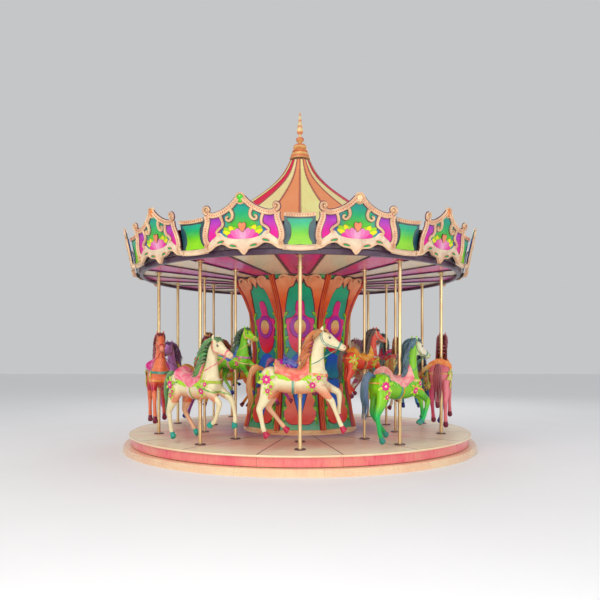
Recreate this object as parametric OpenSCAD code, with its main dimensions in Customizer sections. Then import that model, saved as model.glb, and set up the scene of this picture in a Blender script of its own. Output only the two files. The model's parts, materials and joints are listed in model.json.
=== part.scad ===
/* [Platform] */
// Radius of the turning deck at its top edge
deck_r = 2800; // [2500:10:3400]
// Height of the deck's top above the ground
deck_top = 256; // [240:1:320]
// Thickness of the deck boards
deck_t = 30; // [20:1:40]
// Width of the fixed step that rings the deck
step_w = 180; // [150:1:260]
// Height of the fixed step
step_h = 96; // [70:1:96]

/* [Canopy] */
// Clear height from the deck to the ceiling's outer edge
clear_h = 2552; // [2450:1:2900]
// Height of a carved shield from its pendant to its peak
shield_h = 760; // [600:1:900]
// Width of a carved shield
shield_w = 1060; // [900:1:1100]
// Outward lean of the shields, in degrees
shield_lean = 12; // [5:1:20]
// Height from the roof's eaves to its top ring
roof_rise = 1630; // [1200:10:2000]
// Height of the finial above the roof's top ring
finial_h = 850; // [600:10:1000]

/* [Drum] */
// Radius of the drum's corners at the waist
drum_waist_r = 800; // [760:5:900]
// Thickness of the drum's panels
drum_t = 12; // [8:1:20]
// Width of a pilaster
pilaster_w = 96; // [60:1:120]

/* [Horses] */
// Radius of the outer row of poles
outer_row_r = 2340; // [2250:5:2400]
// Radius of the inner row of poles
inner_row_r = 1620; // [1500:5:1700]
// Size of an inner horse as a share of an outer one
inner_scale = 0.72; // [0.6:0.01:0.8]
// Radius of an outer pole
outer_pole_r = 25; // [20:0.5:28]
// Radius of an inner pole
inner_pole_r = 20; // [16:0.5:25]
// Height of an outer horse's hooves above the deck at mid stroke
outer_hoof_h = 130; // [110:1:200]
// Height of an inner horse's hooves above the deck at mid stroke
inner_hoof_h = 580; // [400:1:700]

/* [Drive] */
// Throw of a crank, half of a horse's stroke
crank_throw = 100; // [60:1:110]
// Radius of a crankshaft
shaft_r = 20; // [16:0.5:24]
// Radial clearance of a running fit
run_gap = 0.05; // [0.02:0.01:0.1]
// Gap left between a crank pin's end and its yoke
pin_gap = 4; // [2:0.5:6]

/* [Hidden] */
$fn = 48;
eps = 0.5;

// counts and angles, measured from the front, which is -Y
shields = 12;
cranks = 10;
joists = 16;
drum_sides = 8;
crank_step = 360 / cranks;
rest_phase = 30;

// heights
frame_top = deck_top - deck_t;
joist_h = 50;
rim_gap = 8;
rim_bottom = step_h + rim_gap;
plate_t = 20;
race_top = 100;
gear_ring_z = [race_top + 2, 150];
ceiling_z = deck_top + clear_h;
ceiling_drop = 86;
ceiling_t = 8;
sweep_z = ceiling_z + 22;
sweep_h = 60;
beam_h = 40;
beam_top = sweep_z + sweep_h + beam_h;
crank_z = beam_top + 90;
eaves_z = ceiling_z + 362;
roof_top_z = eaves_z + roof_rise;

// radii
rim_r = deck_r - 39;
rim_t = 20;
step_out_r = rim_r + step_w - 61;
step_in_r = step_out_r - step_w;
deck_in_r = 742;
hub_plate_r = 644;
post_r = 110;
journal_r = 60;
mast_r = 45;
top_ring_r = 170;
eaves_r = deck_r - 140;
frame_out_r = eaves_r + 15;
inner_ring_r = [500, 585];
bearing_radii = [545, inner_row_r - 190, inner_row_r + 210, outer_row_r - 130];

// drum outline: corner radius and height, from the base to the head
drum_base_h = 74;
drum_head_z = ceiling_z - ceiling_drop - 4;
function drum_points() = [
    [drum_waist_r + 150, deck_top + drum_base_h],
    [drum_waist_r + 100, deck_top + 264],
    [drum_waist_r + 25, deck_top + 744],
    [drum_waist_r, deck_top + 1304],
    [drum_waist_r + 28, deck_top + 1734],
    [drum_waist_r + 69, deck_top + 1944],
    [drum_waist_r + 158, deck_top + 2164],
    [drum_waist_r + 340, drum_head_z]
];
function shifted(points, by) = [for (p = points) [p[0] + by, p[1]]];
function reversed(points) = [for (i = [len(points) - 1:-1:0]) points[i]];
function strip(points, inner, outer) = concat(shifted(points, inner), reversed(shifted(points, outer)));

// roof outline: height of the canvas at a radius
function roof_share(r) = (r - top_ring_r) / (eaves_r - top_ring_r);
function roof_z(r) =
    eaves_z + roof_rise * (0.868 * pow(1 - roof_share(r), 1.508) + 0.132 * exp(-roof_share(r) / 0.05));
function roof_line(r0, r1, steps) =
    [for (i = [0:steps]) let (u = pow(i / steps, 1.6), r = r0 + (r1 - r0) * u) [r, roof_z(min(r, eaves_r))]];

// gearing: the ring gear drives the deck and the crown wheel turns the cranks
ring_teeth = 90;
ring_pitch_r = 540;
motor_teeth = 15;
motor_pitch_r = ring_pitch_r * motor_teeth / ring_teeth;
crown_teeth = 60;
crank_teeth = 15;
crown_pitch_r = 420;
crank_pitch_r = crown_pitch_r * crank_teeth / crown_teeth;
addendum = 9;
dedendum = 13;
crown_face = 40;

function tooth_angles(n, i, wide, narrow) =
    let (p = 360 / n) [i * p - wide * p / 2, i * p - narrow * p / 2, i * p + narrow * p / 2, i * p + wide * p / 2];
function gear_points(n, root, tip, wide, narrow) = [
    for (i = [0:n - 1], j = [0:3])
        let (a = tooth_angles(n, i, wide, narrow)[j], r = (j == 0 || j == 3) ? root : tip) [r * cos(a), r * sin(a)]
];

// crank arms and yokes
pin_r = 15;
arm_t = 16;
arm_end_r = 32;
yoke_h = 90;
yoke_wall = 29;
slot_h = 2 * pin_r + 2;
slot_half = crank_throw + pin_r + 1;
arm_clear = 14;

function wrap(a) = a - 360 * round(a / 360);
function crank_angle(k) = crank_step * k;
function is_high(k) = k % 2 == 0;
function lift(k, outer) = crank_throw * sin(rest_phase) * (is_high(k) == outer ? 1 : -1);

outer_colors = ["ivory", "mediumaquamarine", "pink", "gold", "lightblue",
    "ivory", "palegreen", "salmon", "coral", "beige"];
inner_colors = ["mediumorchid", "tomato", "khaki", "skyblue", "orchid",
    "lightgreen", "hotpink", "turquoise", "crimson", "limegreen"];

// a length of a turned ring, centred on a bearing from the front
module arc(bearing, width) {
    rotate([0, 0, bearing - 90 - width / 2]) rotate_extrude(angle = width, $fn = 180) children();
}

module arcs(n, gap, first = 0) {
    for (i = [0:n - 1]) arc(first + i * 360 / n, 360 / n - gap) children();
}

// children drawn at the front, at a radius from the axis, and turned to a bearing
module at(bearing, r = 0, z = 0) {
    rotate([0, 0, bearing]) translate([0, -r, z]) children();
}

// a flat board standing across the front, leaning outwards
module board(thick, lean) {
    rotate([lean, 0, 0]) rotate([90, 0, 0]) linear_extrude(thick) children();
}

module tube(outer, inner, h) {
    difference() {
        cylinder(h = h, r = outer, $fn = 96);
        translate([0, 0, -1]) cylinder(h = h + 2, r = inner, $fn = 96);
    }
}

// a straight bar or taper between two points, with $fn sides
module bar(a, b, r1, r2) {
    d = b - a;
    translate(a) rotate([0, acos(d[2] / norm(d)), atan2(d[1], d[0])]) cylinder(h = norm(d), r1 = r1, r2 = r2);
}

module ball(p, r) {
    translate(p) sphere(r = r);
}

// ---- fixed base ----
anchor_holes = 8;
anchor_circle_r = 500;
anchor_hole_r = 11;

module base_plate() {
    color("dimgray") difference() {
        cylinder(h = plate_t, r = hub_plate_r, $fn = 180);
        for (i = [0:anchor_holes - 1])
            at((i + 0.5) * 360 / anchor_holes, anchor_circle_r, -1) cylinder(h = plate_t + 2, r = anchor_hole_r);
    }
}

strap_w = 60;
strap_t = 8;
module tie_straps() {
    color("dimgray") for (i = [0:drum_sides - 1])
        difference() {
            rotate([0, 0, i * 360 / drum_sides])
                translate([-strap_w / 2, hub_plate_r - 20, 0]) cube([strap_w, step_in_r - hub_plate_r + 18, strap_t]);
            translate([0, 0, -1]) cylinder(h = strap_t + 2, r = hub_plate_r + eps, $fn = 180);
        }
}

module step_ring() {
    color("bisque") arcs(joists, 0.05, 180 / joists + 6)
        polygon([[step_in_r, 0], [step_out_r, 0], [step_out_r, step_h * 0.45], [step_out_r - 8, step_h * 0.52],
            [step_out_r - 8, step_h * 0.78], [step_out_r - 20, step_h * 0.88], [step_out_r - 20, step_h],
            [step_in_r, step_h]]);
}

journal_top = crank_z + 280;
module centre_post() {
    color("slategray") {
        translate([0, 0, plate_t]) tube(post_r, post_r - 14, crank_z - 40 - plate_t);
        difference() {
            translate([0, 0, crank_z - 40]) cylinder(h = journal_top - crank_z + 40, r = journal_r, $fn = 96);
            translate([0, 0, crank_z - 41]) cylinder(h = journal_top, r = journal_r - 18, $fn = 96);
        }
        translate([0, 0, crank_z - 40]) tube(post_r, journal_r - 5, 20);
        for (i = [0:7]) rotate([0, 0, i * 45 + 22.5]) translate([post_r - 5, -6, plate_t])
            rotate([90, 0, 0]) translate([0, 0, -12]) linear_extrude(12)
                polygon([[0, 0], [58, 0], [58, 20], [0, 200]]);
    }
}

module slewing_race() {
    color("silver") translate([0, 0, plate_t]) tube(635, 575, race_top - plate_t);
}

motor_r = 95;
shelf_z = gear_ring_z[1] + 8;
motor_y = ring_pitch_r - motor_pitch_r;
pinion_shaft_r = 20;
module gearmotor() {
    color("steelblue") {
        difference() {
            union() {
                translate([-120, post_r + 60, plate_t]) cube([240, 150, shelf_z - plate_t + 14]);
                translate([-120, post_r + 60, shelf_z]) cube([240, 370, 14]);
            }
            translate([0, motor_y, shelf_z - 1]) cylinder(h = 40, r = pinion_shaft_r + run_gap);
        }
        translate([0, motor_y, shelf_z + 14 + eps]) cylinder(h = 200, r = 104, $fn = 64);
        translate([0, motor_y, shelf_z + 214 + 2 * eps]) cylinder(h = 260, r = motor_r, $fn = 64);
    }
}

crown_plate_t = 25;
crown_root_z = crank_z - crank_pitch_r - dedendum;
crown_tooth_w = 15;
module crown_wheel() {
    color("darkgray") {
        translate([0, 0, crown_root_z - crown_plate_t])
            tube(crown_pitch_r + crown_face / 2 + 6, post_r + run_gap, crown_plate_t);
        for (i = [0:crown_teeth - 1]) at((i + 0.5) * 360 / crown_teeth, crown_pitch_r, crown_root_z - 1)
            rotate([90, 0, 0]) translate([0, 0, -crown_face / 2]) linear_extrude(crown_face)
                polygon([[-crown_tooth_w / 2, 0], [crown_tooth_w / 2, 0], [crown_tooth_w / 3, dedendum + addendum],
                    [-crown_tooth_w / 3, dedendum + addendum]]);
    }
}

// ---- turning platform ----
module gear_ring() {
    color("gray") translate([0, 0, gear_ring_z[0]]) linear_extrude(gear_ring_z[1] - gear_ring_z[0])
        difference() {
            circle(r = 640, $fn = 180);
            polygon(gear_points(ring_teeth, ring_pitch_r - addendum, ring_pitch_r + dedendum, 0.72, 0.56));
        }
}

joist_w = 40;
module deck_frame() {
    color("saddlebrown") {
        arcs(drum_sides, 0.05) translate([560, gear_ring_z[1]]) square([deck_in_r - 562, frame_top - gear_ring_z[1]]);
        for (i = [0:joists - 1]) at((i + 0.5) * 360 / joists) translate([-joist_w / 2, -(rim_r - rim_t - 42), frame_top - joist_h])
            cube([joist_w, rim_r - rim_t - 42 - deck_in_r, joist_h]);
        arcs(joists, 0.05) translate([rim_r - rim_t - 40, frame_top - joist_h]) square([38, joist_h]);
    }
}

bush_wall = 9;
bush_hole_r = outer_pole_r + bush_wall;
function near_cranks(bearing, half) =
    [for (k = [0:cranks - 1]) if (abs(wrap(crank_angle(k) - bearing)) < half) crank_angle(k)];
module pole_holes(bearing, half, gap) {
    for (a = near_cranks(bearing, half), r = [inner_row_r, outer_row_r])
        at(a, r) cylinder(h = ceiling_z + 200, r = bush_hole_r + gap);
}

module deck_boards() {
    color("peachpuff") for (i = [0:joists - 1]) difference() {
        arc(i * 360 / joists, 360 / joists - 0.08)
            translate([deck_in_r, frame_top]) square([rim_r - 1 - deck_in_r, deck_t]);
        pole_holes(i * 360 / joists, 180 / joists + 3, 0.3);
    }
}

module deck_nosing() {
    color("cornsilk") arcs(joists, 0.04) {
        translate([rim_r, frame_top]) square([deck_r - deck_t / 2 - rim_r, deck_t]);
        translate([deck_r - deck_t / 2, frame_top + deck_t / 2]) circle(r = deck_t / 2);
    }
}

module rim_band() {
    color("hotpink") arcs(joists, 0.06)
        translate([rim_r - rim_t, rim_bottom]) square([rim_t, frame_top - eps - rim_bottom]);
}

bush_flange_r = 75;
bush_flange_t = 12;
module deck_bushes() {
    color("goldenrod") for (k = [0:cranks - 1], row = [[inner_row_r, inner_pole_r], [outer_row_r, outer_pole_r]])
        at(crank_angle(k), row[0], frame_top - 44) {
            tube(bush_hole_r, row[1] + run_gap, deck_t + 44);
            translate([0, 0, deck_t + 44]) tube(bush_flange_r, row[1] + run_gap, bush_flange_t);
        }
}

module drum_base() {
    color("sandybrown") arcs(drum_sides, 0.05) polygon([[deck_in_r, deck_top + eps], [drum_waist_r + 155, deck_top + eps],
        [drum_waist_r + 155, deck_top + 30], [drum_waist_r + 135, deck_top + 44], [drum_waist_r + 135, deck_top + 60],
        [drum_waist_r + 120, deck_top + drum_base_h - eps], [deck_in_r, deck_top + drum_base_h - eps]]);
}

pilaster_proud = 30;
pilaster_deep = 40;
module drum_pilasters() {
    color("orangered") for (i = [0:drum_sides - 1])
        rotate([0, 0, (i + 0.5) * 360 / drum_sides]) rotate([90, 0, 0]) translate([0, 0, -pilaster_w / 2])
            linear_extrude(pilaster_w) polygon(strip(drum_points(), -pilaster_deep, pilaster_proud));
}

module drum_panels() {
    color("teal") difference() {
        rotate([0, 0, 180 / drum_sides]) rotate_extrude($fn = drum_sides)
            polygon(strip(drum_points(), -drum_t, 0));
        for (i = [0:drum_sides - 1]) rotate([0, 0, (i + 0.5) * 360 / drum_sides])
            translate([drum_waist_r / 2, -pilaster_w / 2 - eps, 0]) cube([deck_r / 2, pilaster_w + 2 * eps, ceiling_z]);
    }
}

// the carved top of each drum panel, on its flared upper part
scallop_t = 14;
module drum_scallops() {
    top = drum_points()[7];
    low = drum_points()[6];
    flat_share = cos(180 / drum_sides);
    run = (top[0] - low[0]) * flat_share;
    lean = atan2(run, top[1] - low[1]);
    slope_l = norm([run, top[1] - low[1]]);
    half = low[0] * sin(180 / drum_sides) - pilaster_w * 0.62;
    color("salmon") for (i = [0:drum_sides - 1]) at(i * 360 / drum_sides, low[0] * flat_share + 2, low[1])
        board(scallop_t, lean) polygon([
            [-half * 1.1, slope_l - 6], [-half * 0.95, slope_l * 0.15], [-half * 0.72, slope_l * 0.45],
            [-half * 0.4, slope_l * 0.72], [0, slope_l * 0.82], [half * 0.4, slope_l * 0.72],
            [half * 0.72, slope_l * 0.45], [half * 0.95, slope_l * 0.15], [half * 1.1, slope_l - 6]]);
}

module ring_beam(r0, r1, z0, z1) {
    translate([r0, z0]) square([r1 - r0, z1 - z0]);
}

module frame_rings() {
    color("sienna") {
        arcs(drum_sides, 0.05) ring_beam(drum_waist_r + 150, drum_waist_r + 320, drum_head_z + eps, sweep_z - eps);
        arcs(cranks, 0.05) ring_beam(inner_ring_r[0], inner_ring_r[1], sweep_z, beam_top);
        for (i = [1:3]) arcs(cranks, 0.05)
            ring_beam(bearing_radii[i] - 30, bearing_radii[i] + 30, sweep_z + sweep_h, beam_top);
        arcs(shields, 0.05) ring_beam(frame_out_r - 70, frame_out_r, sweep_z, beam_top);
    }
}

sweep_w = 50;
module sweeps() {
    color("peru") for (k = [0:cranks - 1]) difference() {
        at(crank_angle(k) + crank_step / 2) translate([-sweep_w / 2, -(frame_out_r - 72), sweep_z])
            cube([sweep_w, frame_out_r - 72 - inner_ring_r[1] + 10, sweep_h - eps]);
        cylinder(h = ceiling_z * 2, r = inner_ring_r[1] + eps, $fn = 180);
    }
}

ceiling_r = [drum_waist_r + 325, eaves_r - 60];
function ceiling_at(r) =
    ceiling_z - ceiling_drop * (ceiling_r[1] - r) / (ceiling_r[1] - ceiling_r[0]);
module ceiling_sector(i) {
    difference() {
        arc(i * 180 / shields, 180 / shields - 0.08) polygon([
            [ceiling_r[0], ceiling_at(ceiling_r[0])], [ceiling_r[1], ceiling_at(ceiling_r[1])],
            [ceiling_r[1], ceiling_at(ceiling_r[1]) + ceiling_t], [ceiling_r[0], ceiling_at(ceiling_r[0]) + ceiling_t]]);
        pole_holes(i * 180 / shields, 90 / shields + 3, 0.5);
    }
}

module ceiling_cream() {
    color("cornsilk") for (i = [1:2:2 * shields - 1]) ceiling_sector(i);
}

module ceiling_magenta() {
    color("mediumvioletred") for (i = [0:2:2 * shields - 2]) ceiling_sector(i);
}

guide_h = 40;
module pole_guides() {
    color("goldenrod") for (k = [0:cranks - 1], row = [[inner_row_r, inner_pole_r], [outer_row_r, outer_pole_r]])
        at(crank_angle(k), row[0], ceiling_at(row[0]) - 16) {
            tube(bush_hole_r + 22, row[1] + run_gap, 8);
            translate([0, 0, 8]) tube(bush_hole_r, row[1] + run_gap, guide_h);
        }
}

bearing_w = 76;
bearing_deep = 56;
module crank_bearings() {
    color("darkslategray") for (k = [0:cranks - 1], r = bearing_radii) at(crank_angle(k), r, beam_top)
        difference() {
            translate([-bearing_w / 2, -bearing_deep / 2, eps]) cube([bearing_w, bearing_deep, crank_z - beam_top + 38 - eps]);
            translate([0, 0, crank_z - beam_top]) rotate([90, 0, 0]) translate([0, 0, -bearing_deep])
                cylinder(h = 2 * bearing_deep, r = shaft_r + run_gap);
        }
}

hub_z = crank_z + 150;
arm_w = 40;
module roof_mast() {
    color("saddlebrown") {
        translate([0, 0, hub_z]) tube(journal_r + 40, journal_r + run_gap, journal_top + 4 - hub_z);
        translate([0, 0, journal_top + 4]) cylinder(h = 20, r = journal_r + 40, $fn = 96);
        translate([0, 0, journal_top + 23]) cylinder(h = roof_top_z - 20 - journal_top - 23, r = mast_r);
        translate([0, 0, roof_top_z - 70]) cylinder(h = 20, r = top_ring_r - 16, $fn = 96);
        for (k = [0:cranks - 1]) at(crank_angle(k) + crank_step / 2) {
            translate([-arm_w / 2, -inner_ring_r[1] + 10, hub_z + 30]) cube([arm_w, inner_ring_r[1] - journal_r - 20, 50]);
            translate([-arm_w / 2, -inner_ring_r[1] + 10, beam_top]) cube([arm_w, arm_w, hub_z + 40 - beam_top]);
        }
    }
}

canvas_t = 4;
canvas_steps = 16;
rafter_h = 50;
rafter_w = 40;
rafter_gap = 6;
function canvas_line() = roof_line(top_ring_r + 12, eaves_r, canvas_steps);
module rafters() {
    line = [for (i = [1:canvas_steps - 1]) canvas_line()[i]];
    color("peru") for (i = [0:shields - 1])
        rotate([0, 0, (i + 0.5) * 360 / shields]) rotate([90, 0, 0]) translate([0, 0, -rafter_w / 2])
            linear_extrude(rafter_w) polygon(concat([for (p = line) [p[0], p[1] - canvas_t - rafter_gap]],
                reversed([for (p = line) [p[0], p[1] - canvas_t - rafter_h]])));
}

module roof_canvas() {
    line = canvas_line();
    color("moccasin") rotate_extrude($fn = 180)
        polygon(concat(line, reversed([for (p = line) [p[0], p[1] - canvas_t]])));
}

module finial() {
    z0 = roof_top_z + 12;
    k = finial_h / 850;
    color("orangered") rotate_extrude($fn = 96) polygon([[0, z0], [176, z0], [176, z0 + 26 * k], [140, z0 + 50 * k],
        [120, z0 + 95 * k], [128, z0 + 110 * k], [92, z0 + 130 * k], [84, z0 + 190 * k], [98, z0 + 210 * k],
        [60, z0 + 240 * k], [50, z0 + 270 * k], [0, z0 + 270 * k]]);
    color("gold") {
        translate([0, 0, z0 + 345 * k]) sphere(r = 76 * k, $fn = 64);
        translate([0, 0, z0 + 405 * k]) rotate_extrude($fn = 48) polygon([[0, 0], [34 * k, 0], [26 * k, 30 * k],
            [56 * k, 120 * k], [44 * k, 200 * k], [16 * k, 360 * k], [0, finial_h - 12 - 405 * k]]);
    }
}

// cornice: flat carved shields with narrow links between them
cornice_z = ceiling_z - 58;
cornice_r = eaves_r + 22;
shield_t = 18;
frame_t = 26;
link_w = 330;
function mirrored(points) = concat(points, [for (p = reversed(points)) [-p[0], p[1]]]);
function shield_outline() = let (w = shield_w / 2, h = shield_h) mirrored([
    [0, 0], [0.12 * w, 0.05 * h], [0.4 * w, 0.1 * h], [0.72 * w, 0.1 * h], [0.98 * w, 0.16 * h],
    [0.96 * w, 0.28 * h], [0.82 * w, 0.42 * h], [0.88 * w, 0.62 * h], [0.98 * w, 0.74 * h], [0.94 * w, 0.83 * h],
    [0.8 * w, 0.84 * h], [0.7 * w, 0.72 * h], [0.45 * w, 0.76 * h], [0.22 * w, 0.9 * h], [0.1 * w, 0.99 * h], [0, h]]);
function window_outline() = let (w = shield_w / 2, h = shield_h) mirrored([
    [0, 0.27 * h], [0.4 * w, 0.34 * h], [0.62 * w, 0.38 * h], [0.6 * w, 0.5 * h], [0.4 * w, 0.66 * h],
    [0.2 * w, 0.76 * h], [0, 0.86 * h]]);
function side_window() = let (w = shield_w / 2, h = shield_h) [
    [0.66 * w, 0.34 * h], [0.8 * w, 0.3 * h], [0.74 * w, 0.42 * h], [0.78 * w, 0.62 * h], [0.62 * w, 0.64 * h],
    [0.7 * w, 0.5 * h]];

module cornice_shields() {
    color("mediumseagreen") {
        for (i = [0:shields - 1]) at((i + 0.5) * 360 / shields, cornice_r, cornice_z)
            board(shield_t, shield_lean) polygon(shield_outline());
        for (i = [0:shields - 1]) at(i * 360 / shields, cornice_r, cornice_z)
            board(shield_t, shield_lean) polygon(mirrored([
                [0, 0.1 * shield_h], [link_w / 2, 0.09 * shield_h], [link_w * 0.36, 0.3 * shield_h],
                [link_w / 2, 0.56 * shield_h], [0, 0.56 * shield_h]]));
    }
}

module cornice_frames() {
    gap = 1;
    color("wheat") {
        for (i = [0:shields - 1]) at((i + 0.5) * 360 / shields, cornice_r, cornice_z)
            rotate([shield_lean, 0, 0]) translate([0, -shield_t - gap, 0]) rotate([90, 0, 0]) linear_extrude(frame_t)
                difference() {
                    polygon(shield_outline());
                    polygon(window_outline());
                    polygon(side_window());
                    mirror([1, 0]) polygon(side_window());
                }
        for (i = [0:shields - 1]) at(i * 360 / shields, cornice_r, cornice_z)
            rotate([shield_lean, 0, 0]) translate([0, -shield_t - gap, 0]) rotate([90, 0, 0]) linear_extrude(frame_t) {
                translate([-link_w * 0.4, 0.5 * shield_h]) square([link_w * 0.8, 0.06 * shield_h]);
                translate([-link_w * 0.4, 0.1 * shield_h]) square([link_w * 0.8, 0.05 * shield_h]);
            }
    }
}

// ---- drive and cranks ----
module drive_pinion() {
    color("silver") translate([0, motor_y, gear_ring_z[0] + 3]) {
        linear_extrude(gear_ring_z[1] - gear_ring_z[0] - 6) rotate([0, 0, 90 + 180 / motor_teeth])
            polygon(gear_points(motor_teeth, motor_pitch_r - dedendum, motor_pitch_r + addendum, 0.52, 0.26));
        cylinder(h = shelf_z + 10 - gear_ring_z[0], r = pinion_shaft_r);
    }
}

// a crank arm and its stub pin: the arm starts at `y0`, and the pin runs along Y between the last two values
module crank_arm(y0, phase, pin_from, pin_to) {
    rotate([0, -phase, 0]) {
        translate([0, y0 + arm_t, 0]) rotate([90, 0, 0]) linear_extrude(arm_t) {
            circle(r = arm_end_r);
            translate([crank_throw, 0]) circle(r = pin_r + 9);
            translate([0, -pin_r - 4]) square([crank_throw, 2 * pin_r + 8]);
        }
        translate([crank_throw, max(pin_from, pin_to), 0]) rotate([90, 0, 0])
            cylinder(h = abs(pin_to - pin_from), r = pin_r);
    }
}

module shaft_run(r0, r1) {
    translate([0, -r0, 0]) rotate([90, 0, 0]) cylinder(h = r1 - r0, r = shaft_r);
}

module crankshaft(k) {
    inner_edge = inner_pole_r + arm_clear;
    outer_edge = outer_pole_r + arm_clear;
    inner_pin = inner_pole_r + pin_gap;
    outer_pin = outer_pole_r + pin_gap;
    outer_phase = is_high(k) ? rest_phase : rest_phase + 180;
    color("lightslategray") at(crank_angle(k), 0, crank_z) {
        shaft_run(crown_pitch_r - crown_face / 2 - 6, inner_row_r - inner_edge - 1);
        shaft_run(inner_row_r + inner_edge + 1, outer_row_r - outer_edge - 1);
        translate([0, -crown_pitch_r + crown_face / 2, 0]) rotate([90, 0, 0]) linear_extrude(crown_face)
            rotate([0, 0, -90]) polygon(gear_points(crank_teeth, crank_pitch_r - dedendum, crank_pitch_r + addendum, 0.5, 0.24));
        crank_arm(-inner_row_r + inner_edge, outer_phase + 180, -inner_row_r + inner_pin, -inner_row_r + inner_edge + 1);
        crank_arm(-inner_row_r - inner_edge - arm_t, outer_phase + 180, -inner_row_r - inner_edge - 1, -inner_row_r - inner_pin);
        crank_arm(-outer_row_r + outer_edge, outer_phase, -outer_row_r + outer_pin, -outer_row_r + outer_edge + 1);
    }
}

// ---- horses ----
// One horse at full size, facing +X, with its pole's axis at the origin and its lowest hoof at z = 0.
horse_l = 1320;
belly_z = 626;
module leg(a, b, c, d, r) {
    bar(a, b, r[0], r[1], $fn = 6);
    bar(b, c, r[1] * 1.08, r[2], $fn = 6);
    bar(c, d, r[2] * 1.1, r[3], $fn = 6);
}

module horse_shape() {
    ball([-205, 0, 790], 168, $fn = 10);
    ball([190, 0, 800], 160, $fn = 10);
    bar([-215, 0, 790], [200, 0, 800], 160, 152, $fn = 12);
    bar([235, 0, 860], [435, 0, 1215], 118, 80, $fn = 8);
    bar([390, 0, 1225], [640, 0, 1055], 84, 50, $fn = 8);
    for (s = [-1, 1]) bar([400, s * 42, 1240], [392, s * 54, 1400], 34, 8, $fn = 4);
    translate([0, 20, 0]) rotate([90, 0, 0]) linear_extrude(40)
        polygon([[150, 930], [250, 1160], [330, 1310], [420, 1330], [330, 1120], [240, 900]]);
    bar([-330, 0, 850], [-520, 0, 790], 50, 66, $fn = 6);
    bar([-505, 0, 825], [-620, 0, 470], 66, 24, $fn = 6);
    leg([215, 88, 740], [400, 95, 560], [330, 95, 330], [300, 95, 235], [80, 48, 34, 44]);
    leg([215, -88, 740], [330, -95, 500], [440, -95, 330], [500, -95, 240], [80, 48, 34, 44]);
    leg([-240, 92, 720], [-330, 98, 430], [-480, 98, 190], [-500, 98, 0], [100, 56, 36, 46]);
    leg([-240, -92, 720], [-180, -98, 420], [-320, -98, 190], [-320, -98, 40], [100, 56, 36, 46]);
    translate([-175, 0, 800]) rotate([0, 90, 0]) linear_extrude(330) difference() {
        circle(r = 186, $fn = 12);
        translate([0, -200]) square([200, 400]);
    }
}

pole_fit = 0.3;
collar_h = 24;
module horse(k, outer) {
    r = outer ? outer_row_r : inner_row_r;
    size = outer ? 1 : inner_scale;
    pole_r = outer ? outer_pole_r : inner_pole_r;
    rise = lift(k, outer);
    hoof = deck_top + (outer ? outer_hoof_h : inner_hoof_h) + rise;
    yoke_z = crank_z + rise;
    pole_z = deck_top - 31 - crank_throw + rise;
    at(crank_angle(k), r) {
        color(outer ? outer_colors[k] : inner_colors[k]) difference() {
            translate([0, 0, hoof]) resize([horse_l * size, 0, 0], auto = true) horse_shape();
            translate([0, 0, pole_z]) cylinder(h = yoke_z - pole_z, r = pole_r + pole_fit);
        }
        color("gold") {
            translate([0, 0, pole_z]) cylinder(h = yoke_z - yoke_h / 2 + 10 - pole_z, r = pole_r);
            translate([0, 0, hoof + belly_z * size - collar_h - 14]) cylinder(h = collar_h, r = pole_r + 18);
            translate([0, pole_r, yoke_z]) rotate([90, 0, 0]) linear_extrude(2 * pole_r) difference() {
                square([2 * (slot_half + yoke_wall), yoke_h], center = true);
                square([2 * slot_half - slot_h, slot_h], center = true);
                for (s = [-1, 1]) translate([s * (slot_half - slot_h / 2), 0]) circle(r = slot_h / 2);
            }
        }
    }
}

base_plate();
tie_straps();
step_ring();
centre_post();
slewing_race();
gearmotor();
crown_wheel();
gear_ring();
deck_frame();
deck_boards();
deck_nosing();
rim_band();
deck_bushes();
drum_base();
drum_pilasters();
drum_panels();
drum_scallops();
frame_rings();
sweeps();
ceiling_cream();
ceiling_magenta();
pole_guides();
crank_bearings();
roof_mast();
rafters();
roof_canvas();
finial();
cornice_shields();
cornice_frames();
drive_pinion();
for (k = [0:cranks - 1]) {
    crankshaft(k);
    horse(k, true);
    horse(k, false);
}
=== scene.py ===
import json
import math
import random

import bmesh
import bpy
from mathutils import Matrix, Vector
from mathutils.bvhtree import BVHTree
from mathutils.geometry import delaunay_2d_cdt


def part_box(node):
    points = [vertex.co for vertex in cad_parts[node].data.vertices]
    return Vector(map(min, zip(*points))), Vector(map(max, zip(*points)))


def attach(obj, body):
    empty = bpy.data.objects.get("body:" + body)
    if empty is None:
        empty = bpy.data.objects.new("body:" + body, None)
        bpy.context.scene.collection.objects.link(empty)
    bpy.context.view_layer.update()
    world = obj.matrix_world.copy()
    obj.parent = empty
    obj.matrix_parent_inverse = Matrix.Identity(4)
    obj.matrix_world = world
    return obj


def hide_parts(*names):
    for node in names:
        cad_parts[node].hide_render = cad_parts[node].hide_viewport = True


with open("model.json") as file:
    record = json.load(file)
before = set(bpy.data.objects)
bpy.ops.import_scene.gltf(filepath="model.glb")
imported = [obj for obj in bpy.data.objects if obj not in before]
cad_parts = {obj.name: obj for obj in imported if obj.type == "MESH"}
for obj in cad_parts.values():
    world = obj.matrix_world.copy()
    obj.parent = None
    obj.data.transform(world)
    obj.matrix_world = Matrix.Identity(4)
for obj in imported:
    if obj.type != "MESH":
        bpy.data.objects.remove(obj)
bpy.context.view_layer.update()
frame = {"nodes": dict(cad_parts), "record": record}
nodes = frame["nodes"]
scene = bpy.context.scene


def boxOf(name):
    low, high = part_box(name)
    return Vector(low), Vector(high)


deckTop = boxOf("deck_boards")[1].z
drumLow, drumHigh = boxOf("drum_panels")[0].z, boxOf("drum_panels")[1].z
canvasLow, canvasHigh = boxOf("roof_canvas")
finialLow, finialHigh = boxOf("finial")
cranks = 10
shields = 12
drumSides = 8
outerRow = 2.34
innerRow = 1.62


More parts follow.
